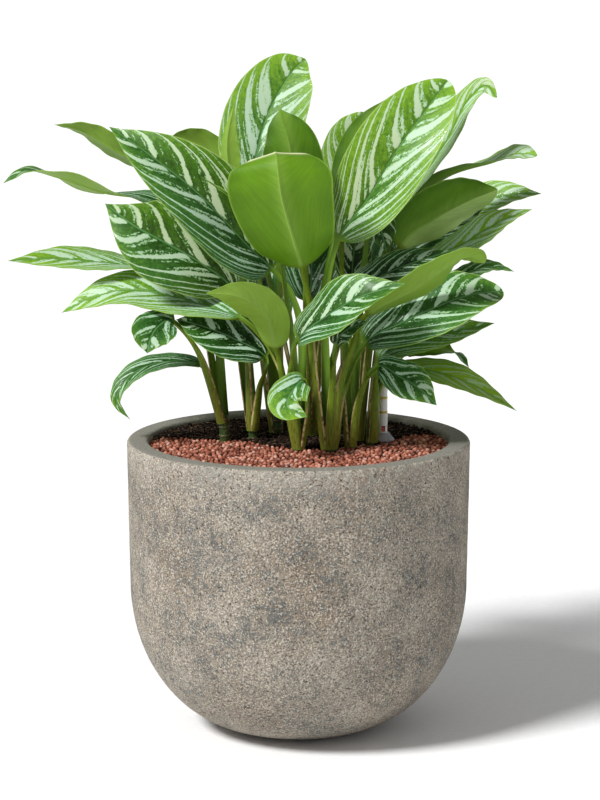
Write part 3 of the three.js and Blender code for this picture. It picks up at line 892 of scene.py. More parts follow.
def cane_recipe() -> Recipe:
    """Makes the tree that grows a ringed trunk along a path.

    Returns:
        The recipe.
    """
    recipe = Recipe("ringed_cane")
    radius = recipe.size("Radius", float)
    rings = recipe.size("Rings", float)
    shift = recipe.size("Ring shift", float)
    path = recipe.node("GeometryNodeMeshToCurve", None, {"Mesh": recipe.source})
    path = recipe.node("GeometryNodeResampleCurve", None, {"Curve": path, "Count": 90})
    share = recipe.node("GeometryNodeSplineParameter")
    wave = (share * rings + shift).fraction()
    ring = 1.0 - (abs(wave - 0.5) * 2.0).over(0.0, 0.32)
    path = recipe.store(path, "ring", ring)
    thick = radius * (0.93 + 0.11 * ring - 0.4 * share.over(0.93, 1.0))
    circle = recipe.node("GeometryNodeCurvePrimitiveCircle", None, {"Resolution": 22, "Radius": 1.0})
    inputs = {"Curve": path, "Profile Curve": circle, "Scale": thick, "Fill Caps": True}
    body = recipe.node("GeometryNodeCurveToMesh", None, inputs)
    knobs = recipe.noise(recipe.position(), 260.0, 2.0) - 0.5
    recipe.close(recipe.raised(body, knobs * 0.0009))
    return recipe


class Grain(Enum):
    """What a scatter is made of."""

    BALL = "ball"
    CRUMB = "crumb"
    STRAND = "strand"


def scatter_recipe(grain: Grain) -> Recipe:
    """Makes the tree that strews grains over a surface.

    Args:
        grain: The kind of grain.

    Returns:
        The recipe.
    """
    recipe = Recipe(f"scatter_{grain.value}")
    apart = recipe.size("Spacing", float)
    size = recipe.size("Size", float)
    low = recipe.size("Low", float)
    high = recipe.size("High", float)
    seed = recipe.size("Seed", int)
    limits = {"Mesh": recipe.source, "Distance Min": apart, "Density Max": 400000.0, "Seed": seed}
    spots = recipe.node("GeometryNodeDistributePointsOnFaces", {"distribute_method": "POISSON"}, limits)
    drop = recipe.chance(seed + 1)
    spots = recipe.moved(spots, recipe.combine(0.0, 0.0, low + (high - low) * drop))
    spots = recipe.store(spots, "chance", recipe.chance(seed + 2))
    scale = size * (0.8 + 0.4 * recipe.chance(seed + 3))
    most = 3.1
    turns = [recipe.chance(seed + step, -most, most) for step in (4, 5, 6)]
    spin = recipe.combine(*turns)
    if grain is Grain.BALL:
        shape = recipe.sphere(8, 4)
        stretch = recipe.combine(scale, scale * (0.86 + 0.2 * drop), scale * 0.95)
    elif grain is Grain.CRUMB:
        shape = recipe.sphere(5, 3)
        stretch = recipe.combine(scale, scale * (0.4 + 0.5 * drop), scale * 0.45)
    else:
        rod = {"Vertices": 4, "Side Segments": 7, "Radius": 1.0, "Depth": 2.0}
        shape = recipe.node("GeometryNodeMeshCylinder", None, rod)
        stretch = recipe.combine(scale * 0.035, scale * 0.035, scale)
        spin = recipe.combine(1.35 + 0.4 * drop, 0.0, turns[2])
    inputs = {"Points": spots, "Instance": shape, "Rotation": spin, "Scale": stretch}
    grains = recipe.node("GeometryNodeInstanceOnPoints", None, inputs)
    grains = recipe.node("GeometryNodeRealizeInstances", None, {"Geometry": grains})
    inputs = {"Vector": recipe.position(), "Scale": 170.0, "Detail": 2.0}
    bend = recipe.vector("SUBTRACT", recipe.node("ShaderNodeTexNoise", None, inputs, 1), (0.5, 0.5, 0.5))
    loose = 0.16 if grain is Grain.BALL else 0.8
    recipe.close(recipe.moved(grains, recipe.scaled(bend, size * loose)))
    return recipe


@dataclass
class Plant:
    """What every piece of the plant is added to."""

    low: np.ndarray
    high: np.ndarray
    count: int = 0

    def add(self, piece: bpy.types.Object, slot: str, *nodes: str) -> None:
        """Takes a finished piece into the plant.

        Args:
            piece: The piece, which is kept within the solids' box.
            slot: The material slot. It is not used.
            nodes: The solids that it stands for.
        """
        count = len(piece.data.vertices)
        places = np.empty(count * 3)
        piece.data.vertices.foreach_get("co", places)
        places = np.clip(places.reshape(-1, 3), self.low, self.high)
        piece.data.vertices.foreach_set("co", places.ravel())
        piece.data.update()
        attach(piece, "root")
        if nodes:
            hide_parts(*nodes)
        self.count += 1
        LOG.info("%s: %d faces", piece.name, len(piece.data.polygons))


@dataclass
class Pot:
    """The planter: a round-footed bowl with a flat lip."""

    radius: float = 175
    taper: float = 2
    height: float = 300
    foot: float = 50
    rise: float = 152
    wall: float = 22
    floor: float = 22
    lip_round: float = 4
    thicken_from: float = 90
    thicken_rate: float = 0.12
    floor_round: float = 14
    sides: int = 256
    bowl_steps: int = 48
    wall_steps: int = 34
    inside_steps: int = 30
    corner_steps: int = 7
    grit: float = 1.1
    finish: Finish = field(default_factory=Composite)

    def outer(self, z: float) -> float:
        """Finds the outside radius: a quarter ellipse from the foot, then a slight taper.

        Args:
            z: The height, in millimetres.

        Returns:
            The radius, in millimetres.
        """
        bowl = self.radius - self.taper
        if z >= self.rise:
            return bowl + self.taper * (z - self.rise) / (self.height - self.rise)
        return self.foot + (bowl - self.foot) * math.sqrt(1 - (1 - z / self.rise) ** 2)

    def inner(self, z: float) -> float:
        """Finds the inside radius at a height, in millimetres."""
        return self.outer(z) - self.wall - self.thicken_rate * max(0.0, self.thicken_from - z)

    def _corner(self, middle: float, start: float, end: float) -> list[tuple[float, float]]:
        """Rounds one edge of the lip.

        Args:
            middle: The radius at which the arc's centre lies, in millimetres.
            start: The angle at which the arc begins, in degrees from straight out.
            end: The angle at which it ends.

        Returns:
            The arc's points.
        """
        turns = np.radians(np.linspace(start, end, self.corner_steps))
        low = self.height - self.lip_round
        return [
            (middle + self.lip_round * math.cos(turn), low + self.lip_round * math.sin(turn))
            for turn in turns
        ]

    def profile(self) -> list[Point]:
        """Lists the wall's outline, from the middle of the foot out, up and back down inside.

        Returns:
            The outline's points.
        """
        below_lip = self.height - self.lip_round - 2
        above_floor = self.floor + 6
        line = [(AXIS, 0.0)] + [(self.foot * share, 0.0) for share in (0.35, 0.7, 1.0)]
        for turn in np.linspace(0, math.pi / 2, self.bowl_steps + 1)[1:]:
            z = self.rise * (1 - math.cos(turn))
            line.append((self.outer(z), z))
        line += [(self.outer(z), z) for z in np.linspace(self.rise + 5, below_lip, self.wall_steps)]
        line += self._corner(self.radius - self.lip_round, 0, 90)
        line += self._corner(self.radius - self.wall + self.lip_round, 90, 180)
        line += [(self.inner(z), z) for z in np.linspace(below_lip, above_floor, self.inside_steps)]
        line += [(self.inner(above_floor) - self.floor_round, self.floor), (AXIS, self.floor)]
        return [(r, 0.0, z) for r, z in line]

    def build(self, plant: Plant, recipe: Recipe) -> None:
        """Turns the pot.

        Args:
            plant: What the pot is added to.
            recipe: The tree that turns a profile.
        """
        sizes = {
            "Sides": self.sides,
            "Grit": self.grit * MM,
            "Grit fineness": 95.0,
            "Grit top": (self.height - 1) * MM,
            "Finish": self.finish.material(),
        }
        piece = recipe.make("pot_turned", mesh_of("pot_profile", self.profile()), sizes)
        outward(piece)
        plant.add(piece, "stone", "pot")


@dataclass(frozen=True)
class Layer:
    """Grains strewn over one side of the bed.

    It has the piece's name, the seed, how far apart the grains lie and how big they are, the lowest and
    the highest that they lie over the plan, how deep the plan lies under the bed's top, and the solids
    that the layer stands for.
    """

    name: str
    seed: int
    spacing: float
    size: float
    low: float
    high: float
    depth: float
    nodes: tuple[str, ...] = ()


@dataclass
class Bed:
    """What fills the pot: dark planting mix behind, and clay granules in front."""

    top: float = 294
    radius: float = 152.6
    balls: tuple[Layer, ...] = (
        Layer("clay_balls", 11, 3.85, 2.1, -0.7, 0.9, 2.2, ("clay_granules",)),
        Layer("clay_balls_below", 31, 3.4, 2.0, -0.7, 0.9, 4.0),
    )
    crumbs: Layer = Layer("mix_crumbs", 51, 3.6, 3.4, -0.5, 1.2, 0.8)
    fibres: Layer = Layer("mix_fibres", 71, 9.0, 5.5, 0.6, 1.8, 0.0)
    shade_sheet_depth: float = 5.2
    skin: float = 0.6
    edge: tuple[tuple[float, float], ...] = (
        (-156, 12), (-136, 34), (-98, 28), (-60, 20), (-30, -10), (1, -26), (30, -20), (52, -6), (86, 6),
        (108, 40), (130, 52), (156, 36),
    )
    edge_steps: int = 70
    clay: Finish = field(default_factory=FiredClay)
    loam: Finish = field(default_factory=Loam)
    fibre: Finish = field(default_factory=Fibre)

    def _border(self) -> list[tuple[float, float]]:
        """Draws the line where the granules end, as a smooth curve within the pot.

        Returns:
            Its points, left to right.
        """
        knots = np.array([(x, y, 0.0) for x, y in self.edge])
        line = spline(knots, np.linspace(0, 1, self.edge_steps))
        return [(x, y) for x, y, _ in line if math.hypot(x, y) < self.radius - 0.5]

    def _plan(self, front: bool, depth: float, rows: int = 7) -> bpy.types.Mesh:
        """Makes a flat plan of one side of that line.

        Args:
            front: Whether it is the granules' side.
            depth: How far it lies under the bed's top.
            rows: How many strips it has between the line and the pot.

        Returns:
            The plan, facing up.
        """
        line = self._border()
        start = math.atan2(line[0][1], line[0][0])
        end = math.atan2(line[-1][1], line[-1][0])
        if front:
            start -= 2 * math.pi if start > 0 else 0
        points = []
        for i, (x, y) in enumerate(line):
            turn = start + (end - start) * i / (len(line) - 1)
            rim = (self.radius * math.cos(turn), self.radius * math.sin(turn))
            for j in range(rows + 1):
                share = j / rows
                points.append((x + (rim[0] - x) * share, y + (rim[1] - y) * share, self.top - depth))
        faces = []
        for i in range(len(line) - 1):
            for j in range(rows):
                a = i * (rows + 1) + j
                quad = (a, a + 1, a + rows + 2, a + rows + 1)
                faces.append(quad if front else quad[::-1])
        return mesh_of("bed_plan", points, faces)

    def build(self, plant: Plant) -> None:
        """Strews the granules, the crumbs and the fibres, and dresses the solid mix under them.

        Args:
            plant: What they are added to.
        """
        balls = scatter_recipe(Grain.BALL)
        for layer in self.balls:
            self._strew(plant, balls, layer, "clay", self.clay)
        self._lay_shade_sheet(plant)
        self._strew(plant, scatter_recipe(Grain.CRUMB), self.crumbs, "soil", self.loam)
        self._strew(plant, scatter_recipe(Grain.STRAND), self.fibres, "soil", self.fibre)
        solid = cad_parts["soil_bed"].data
        solid.materials.clear()
        solid.materials.append(self.loam.material())

    def _strew(self, plant: Plant, recipe: Recipe, layer: Layer, slot: str, finish: Finish) -> None:
        """Strews one layer of grains.

        Args:
            plant: What the layer is added to.
            recipe: The tree that strews its kind of grain.
            layer: The layer.
            slot: clay for the side in front and soil for behind, which picks the side of the plan.
            finish: The grains' finish.
        """
        sizes = {
            "Spacing": layer.spacing * MM,
            "Size": layer.size * MM,
            "Low": layer.low * MM,
            "High": layer.high * MM,
            "Seed": layer.seed,
            "Finish": finish.material(),
        }
        plan = self._plan(slot == "clay", layer.depth)
        plant.add(recipe.make(layer.name, plan, sizes), slot, *layer.nodes)

    def _lay_shade_sheet(self, plant: Plant) -> None:
        """Lays a thin sheet under the granules, which the clay's painted shade makes nearly black, so that
        each gap between them shows painted shade and not the solid.

        Args:
            plant: What the skin is added to.
        """
        piece = placed("clay_shade_underlay", self._plan(True, self.shade_sheet_depth, 12))
        piece.data.materials.append(self.clay.material())
        thicken = piece.modifiers.new("thickness", "SOLIDIFY")
        thicken.thickness = self.skin * MM
        thicken.offset = 1.0
        settle(piece, thicken)
        plant.add(piece, "clay")


def spline(knots: np.ndarray, shares: np.ndarray) -> np.ndarray:
    """Runs a smooth curve through knots, with an equal share of it between each two.

    Args:
        knots: The points that it passes.
        shares: Where on it, from 0 to 1.

    Returns:
        A point for each share.
    """
    padded = np.vstack([2 * knots[:1] - knots[1:2], knots, 2 * knots[-1:] - knots[-2:-1]])
    slide = np.clip(shares, 0, 1) * (len(knots) - 1)
    span = np.minimum(slide.astype(int), len(knots) - 2)
    w = (slide - span)[:, None]
    before, here, following, after = (padded[span + k] for k in range(4))
    lead = (following - before) / 2
    trail = (after - here) / 2
    square = -3 * here + 3 * following - 2 * lead - trail
    return here + lead * w + square * w ** 2 + (2 * here - 2 * following + lead + trail) * w ** 3


def rise(values: np.ndarray, low: float, high: float) -> np.ndarray:
    """Rises smoothly from 0 at low to 1 at high."""
    share = np.clip((values - low) / (high - low), 0, 1)
    return share * share * (3 - 2 * share)


def unit(vectors: np.ndarray) -> np.ndarray:
    """Makes each row one long."""
    return vectors / np.linalg.norm(vectors, axis=-1, keepdims=True)


class Upper(Enum):
    """How a leaf's upper side is coloured: how light, how pale its stripes, how lime. How light is partly
    the leaf's own tone and partly painted light and shade: deeper for shaded leaves, brighter for sunlit
    ones, SUNNY most.
    """

    BRIGHT = (0.4, 0.72, 0.0)
    PALE = (0.5, 1.15, 0.04)
    SUNNY = (1.0, 1.6, 0.15)
    MID = (0.05, 0.35, 0.0)
    DEEP = (-0.16, 0.3, 0.0)
    LIME = (0.9, 0.7, 0.55)


class Under(Enum):
    """How a leaf's underside is coloured: how deep, how lime, how silvery in each half."""

    FRESH = (0.0, 0.0, 0.0, 0.0)
    DEEP = (0.5, 0.0, 0.0, 0.0)
    LIME = (0.0, 0.75, 0.0, 0.0)
    SILVERY = (0.0, 0.2, 0.45, 0.45)
    SPLIT = (0.45, 0.0, 0.95, 0.0)


@dataclass(frozen=True)
class CanePlan:
    """Where a cane stands and ends, how thick it is, and how far below its top the petioles begin."""

    x: float
    y: float
    top_x: float
    top_y: float
    top: float
    radius: float
    drop: float


@dataclass(frozen=True)
class LeafPlan:
    """One leaf's course and colours.

    It has the cane it clasps, the points that its petiole passes, the points of its midrib, half its
    width, the way its upper side faces from base to tip, how far its halves fold up, how far its margins
    wave, and how pale the edge is where it bends over. A small tip makes a blunt end.
    """

    number: int
    cane: int
    foot: float
    stalk: tuple[Point, ...]
    rib: tuple[Point, ...]
    half: float
    face: tuple[Point, ...]
    fold: float
    wave: float
    upper: Upper
    under: Under
    crest: float = 0.0
    tip: float = 0.45


@dataclass
class Leaf:
    """A blade, its petiole and the sheath at the petiole's foot, as one grown piece.

    A half size is taken from the middle line, and a share is of the petiole's length from its foot.
    Steps say how many stations a leaf has along it, and how many places to each side of its middle.
    """

    plan: LeafPlan
    cane: CanePlan
    thickness: float = 0.55
    stalk_half: float = 2.7
    sheath_half: float = 5.4
    sheath_share: float = 0.85
    wrap_share: float = 0.5
    groove: float = 0.4
    frill: float = 0.5
    frills: float = 7
    slim_below: float = 20
    half_steps: int = 10
    hem_step: float = 0.975
    stalk_steps: int = 16
    knot_steps: int = 4
    blade_steps: int = 46
    stripe_pitch: float = 40
    widest: float = 46
    vein_sweep: float = 0.6
    turn_shift: float = 1.37
    half_shift: float = 37.4
    upper_skin: Finish = field(default_factory=StripedSkin)
    under_skin: Finish = field(default_factory=PlainSkin)

    def __post_init__(self) -> None:
        """Sets out the places across the leaf and its stations, as shares of petiole and blade."""
        half = [share ** 1.5 for share in np.linspace(1 / self.half_steps, 1, self.half_steps)]
        half.insert(-1, self.hem_step)
        self.across = np.array([-v for v in reversed(half)] + [0.0] + half)
        stalk_steps = self.stalk_steps + self.knot_steps * len(self.plan.stalk)
        shares = np.arange(stalk_steps) / stalk_steps
        ends = (1 - np.cos(np.linspace(0, math.pi, self.blade_steps))) / 2
        blade = 0.35 * ends + 0.65 * np.linspace(0, 1, self.blade_steps)
        self.stalk_share = np.concatenate([shares, np.ones(self.blade_steps)])
        self.blade_share = np.concatenate([np.zeros(stalk_steps), blade])
        self.on_blade = np.concatenate([np.zeros(stalk_steps), np.ones(self.blade_steps)])
        self.fold = math.radians(self.plan.fold)

    def _course(self) -> tuple[np.ndarray, ...]:
        """Finds the leaf's middle line and the frame that goes with it.

        Returns:
            The centres, the directions to the side and the directions up.
        """
        plan, cane = self.plan, self.cane
        turn = math.radians(plan.foot)
        outwards = np.array([math.cos(turn), math.sin(turn), 0.0])
        reach = cane.radius * RING_BULGE + self.stalk_half * 0.3 + GAP
        start = np.array([cane.top_x, cane.top_y, cane.top - cane.drop]) + reach * outwards
        knots = np.array([start, *plan.stalk, *plan.rib], dtype=float)
        begin = (len(knots) - len(plan.rib)) / (len(knots) - 1)
        u = np.where(self.on_blade > 0, begin + (1 - begin) * self.blade_share, begin * self.stalk_share)
        centre = spline(knots, u)
        step = 1e-4
        along = unit(spline(knots, np.minimum(u + step, 1)) - spline(knots, np.maximum(u - step, 0)))
        faces = np.array(plan.face, dtype=float)
        places = np.linspace(0, 1, len(faces))
        face = np.stack([np.interp(self.blade_share, places, column) for column in faces.T], axis=1)
        face += (-outwards - face) * ((1 - self.stalk_share) ** 0.7)[:, None]
        side = unit(np.cross(along, face))
        return centre, side, np.cross(side, along)

    def _stalk_section(self, thin: np.ndarray) -> tuple[np.ndarray, ...]:
        """Shapes the petiole's cross-sections: a channel, whose broad foot wraps the cane.

        Args:
            thin: How thick the petiole, or the midrib after it, is at each station.

        Returns:
            How far out each point is, and how far up, for the upper side and for the underside.
        """
        s = self.across[None, :]
        slim = thin * (0.75 + 0.25 * min(1.0, self.plan.half / self.slim_below))
        sheath = (1 - rise(self.stalk_share, 0, self.sheath_share))[:, None]
        wrapped = (1 - rise(self.stalk_share, 0.05, self.wrap_share))[:, None]
        closed = (0.12 + 0.88 * rise(self.stalk_share, -0.02, 0.12))[:, None]
        broad = slim + (self.sheath_half - self.stalk_half) * sheath
        bend = self.cane.radius * RING_BULGE + 0.5
        turn = s * broad / bend
        out = s * broad * (1 - wrapped) + bend * np.sin(turn) * wrapped
        hug = bend * (1 - np.cos(turn)) * wrapped
        channel = (0.45 * s ** 2 - 0.15) * slim + hug
        shell = np.sqrt(np.maximum(0, 1 - s ** 2)) + 0.1
        belly = -slim * (1 - 0.45 * wrapped) * shell * closed + hug
        return out, channel, belly

    def _section(self) -> tuple[np.ndarray, ...]:
        """Shapes every cross-section.

        Returns:
            How far out and up each point is, for the upper side and for the underside, and half the
            blade's width at each station.
        """
        plan = self.plan
        s = self.across[None, :]
        lean = abs(s)
        t = self.blade_share[:, None]
        on_blade = self.on_blade[:, None]
        capped = np.clip(t, 0, 0.9985)
        width = plan.half * np.sin(math.pi * capped ** 0.8) ** (0.65 + plan.tip * capped) * on_blade
        flat = rise(t, 0.02, 0.2) * on_blade
        thin = self.stalk_half * (1 - 0.75 * t * on_blade)
        beat = np.sin(9 * t + np.where(s > 0, 0.6, 2.4)) * np.minimum(1, width / self.slim_below)
        frill = np.sin(2 * math.pi * (self.frills * t + 0.37 * plan.number + 0.23 * np.sign(s)))
        ends = rise(t, 0.05, 0.25) * (1 - rise(t, 0.85, 1))
        wave = plan.wave * lean ** 2 * beat + self.frill * lean ** 4 * frill * ends
        lift = lean * width * math.sin(self.fold) * (1.2 - 0.4 * lean) + wave
        y = s * width
        groove = self.groove * np.exp(-(y / 1.1) ** 2)
        keel = thin * 0.8 * np.exp(-(y / (0.8 * thin)) ** 2) * (1 - 0.7 * t)
        stalk_out, channel, belly = self._stalk_section(thin)
        top_up = lift + channel + (self.thickness / 2 - groove - channel) * flat
        low_up = lift + belly + (-self.thickness / 2 - keel - belly) * flat
        side_out = stalk_out * (1 - flat) + y * math.cos(self.fold)
        return side_out, top_up, low_up, width

    def _faces(self) -> tuple[Sequence[tuple[int, ...]], Sequence[int], Sequence[int]]:
        """Joins the sections. A section has its upper points first, then its lower ones.

        Returns:
            The faces, the material of each, and the side of the midrib that each is on.
        """
        n = len(self.across)
        last = n - 1
        end = (len(self.blade_share) - 1) * 2 * n
        half = [0 if k >= n // 2 else 1 for k in range(n)]
        quads: list[tuple[tuple[int, ...], int, int]] = []
        for here in range(0, end, 2 * n):
            ahead = here + 2 * n
            for a, b in zip(range(last), range(1, n)):
                quads.append(((here + a, here + b, ahead + b, ahead + a), 0, half[a]))
                quads.append(((here + n + a, ahead + n + a, ahead + n + b, here + n + b), 1, half[a]))
            quads.append(((here, ahead, ahead + n, here + n), 1, half[0]))
            quads.append(((here + last, here + n + last, ahead + n + last, ahead + last), 1, half[last]))
        for a, b in zip(range(last), range(1, n)):
            quads.append(((a, n + a, n + b, b), 1, half[a]))
            quads.append(((end + a, end + b, end + n + b, end + n + a), 1, half[a]))
        faces, skins, halves = zip(*quads)
        return faces, skins, halves

    def build(self, plant: Plant) -> None:
        """Makes the leaf.

        Args:
            plant: What the leaf is added to.
        """
        plan = self.plan
        centre, side, up = self._course()
        out, top_up, low_up, width = self._section()
        middle = centre[:, None] + side[:, None] * out[..., None]
        layers = [middle + up[:, None] * height[..., None] for height in (top_up, low_up)]
        places = np.concatenate(layers, axis=1).reshape(-1, 3)
        faces, skins, halves = self._faces()
        mesh = mesh_of(f"leaf_{plan.number:02d}_grown", places.tolist(), faces)
        mesh.materials.append(self.upper_skin.material())
        mesh.materials.append(self.under_skin.material())
        mesh.polygons.foreach_set("material_index", skins)
        self._map_veins(mesh, centre, width, halves)
        self._keep_values(mesh, centre, side, up, width)
        mesh.shade_smooth()
        mesh.set_sharp_from_angle(angle=math.radians(50))
        plant.add(placed(mesh.name, mesh), "leaf", f"leaf_{plan.number:02d}")

    def _both_sides(self, values: Union[np.ndarray, float]) -> np.ndarray:
        """Spreads values over every station and place across, and repeats them for the underside."""
        grid = np.broadcast_to(values, (len(self.blade_share), len(self.across)))
        return np.concatenate([grid, grid], axis=1).ravel()

    def _map_veins(
        self, mesh: bpy.types.Mesh, centre: np.ndarray, width: np.ndarray, halves: Sequence[int]
    ) -> None:
        """Gives the mesh its maps of the blade and of the veins, which sweep out from the midrib.

        Args:
            mesh: The leaf's mesh.
            centre: Its middle line, in millimetres.
            width: Half the blade's width at each station.
            halves: The side of the midrib that each face is on.
        """
        length = np.linalg.norm(np.diff(centre[self.on_blade > 0], axis=0), axis=1).sum()
        s = self.across[None, :]
        t = self.blade_share[:, None]
        sweep = self.vein_sweep * (0.72 * abs(s) + 0.28 * s ** 2)
        root = (t - sweep) / (1 - sweep)
        pitch = self.stripe_pitch * (0.5 + 0.5 * min(1.0, self.plan.half / self.widest))
        turn = root * length / pitch + self.plan.number * self.turn_shift
        run = np.hypot((t - root) * length, s * width) / 10
        along = t - (1 - self.stalk_share[:, None])
        corners = np.empty(len(mesh.loops), dtype=int)
        mesh.loops.foreach_get("vertex_index", corners)
        half = np.repeat(np.array(halves), [len(p.vertices) for p in mesh.polygons])
        for name, u, v, shift in (("blade", along, s, 0.0), ("veins", turn, run, self.half_shift)):
            u, v = (self._both_sides(values)[corners] for values in (u, v))
            layer = mesh.uv_layers.new(name=name)
            layer.data.foreach_set("uv", np.stack([u + shift * half, v], axis=1).ravel())

    def _keep_values(
        self, mesh: bpy.types.Mesh, centre: np.ndarray, side: np.ndarray, up: np.ndarray, width: np.ndarray
    ) -> None:
        """Keeps on the mesh's points the numbers that its finishes read.

        Args:
            mesh: The leaf's mesh.
            centre: Its middle line, in millimetres.
            side: The direction to the side at each station.
            up: The direction up at each station.
            width: Half the blade's width at each station.
        """
        s = self.across[None, :]
        t = self.blade_share[:, None]
        blade = self.on_blade[:, None]
        stalk = self.stalk_share[:, None]
        light, pale, lime = self.plan.upper.value
        deep, under_lime, silvery_left, silvery_right = self.plan.under.value
        # Painted sky reflection: how far each point faces up, which the upper side's finish turns into a
        # bluer sheen.
        skyward = up[:, None, 2] * math.cos(self.fold)
        skyward = skyward - np.sign(s) * side[:, None, 2] * math.sin(self.fold)
        top = self.blade_share[np.argmax(centre[:, 2])]
        values = {
            "offset": s * width,
            "flat": rise(t, 0.0, 0.04) * blade,
            "light": light,
            "pale": pale,
            "lime": lime,
            "under_deep": deep,
            "under_lime": under_lime,
            "under_silvery": np.where(s < 0, silvery_left, silvery_right),
            "sky_sheen": rise(skyward, -0.05, 0.5),
            "crest": self.plan.crest * np.exp(-(((t - top + 0.01) / 0.028) ** 2)) * blade,
            "base": 1 - rise(stalk, 0.0, 0.45),
            "sheath": 1 - rise(stalk, 0.35, 0.6),
        }
        for name, grid in values.items():
            layer = mesh.attributes.new(name, "FLOAT", "POINT")
            layer.data.foreach_set("value", self._both_sides(grid))


CANES = (
    CanePlan(-76, 18, -77, 17, 322, 5.4, 10),
    CanePlan(-47, 21, -47, 20, 318, 5, 14),
    CanePlan(-2, -33, 0, -33, 322, 5, 27),
    CanePlan(31, -33, 31, -33, 318, 7, 23),
    CanePlan(52, -22, 53, -22, 320, 4.6, 25),
    CanePlan(60, 14, 61, 13, 322, 4.6, 27),
    CanePlan(73, -3, 75, -3, 324, 4.6, 28),
    CanePlan(12, 40, 12, 42, 326, 5.6, 31),
    CanePlan(-22, 52, -23, 54, 322, 5.2, 27),
)

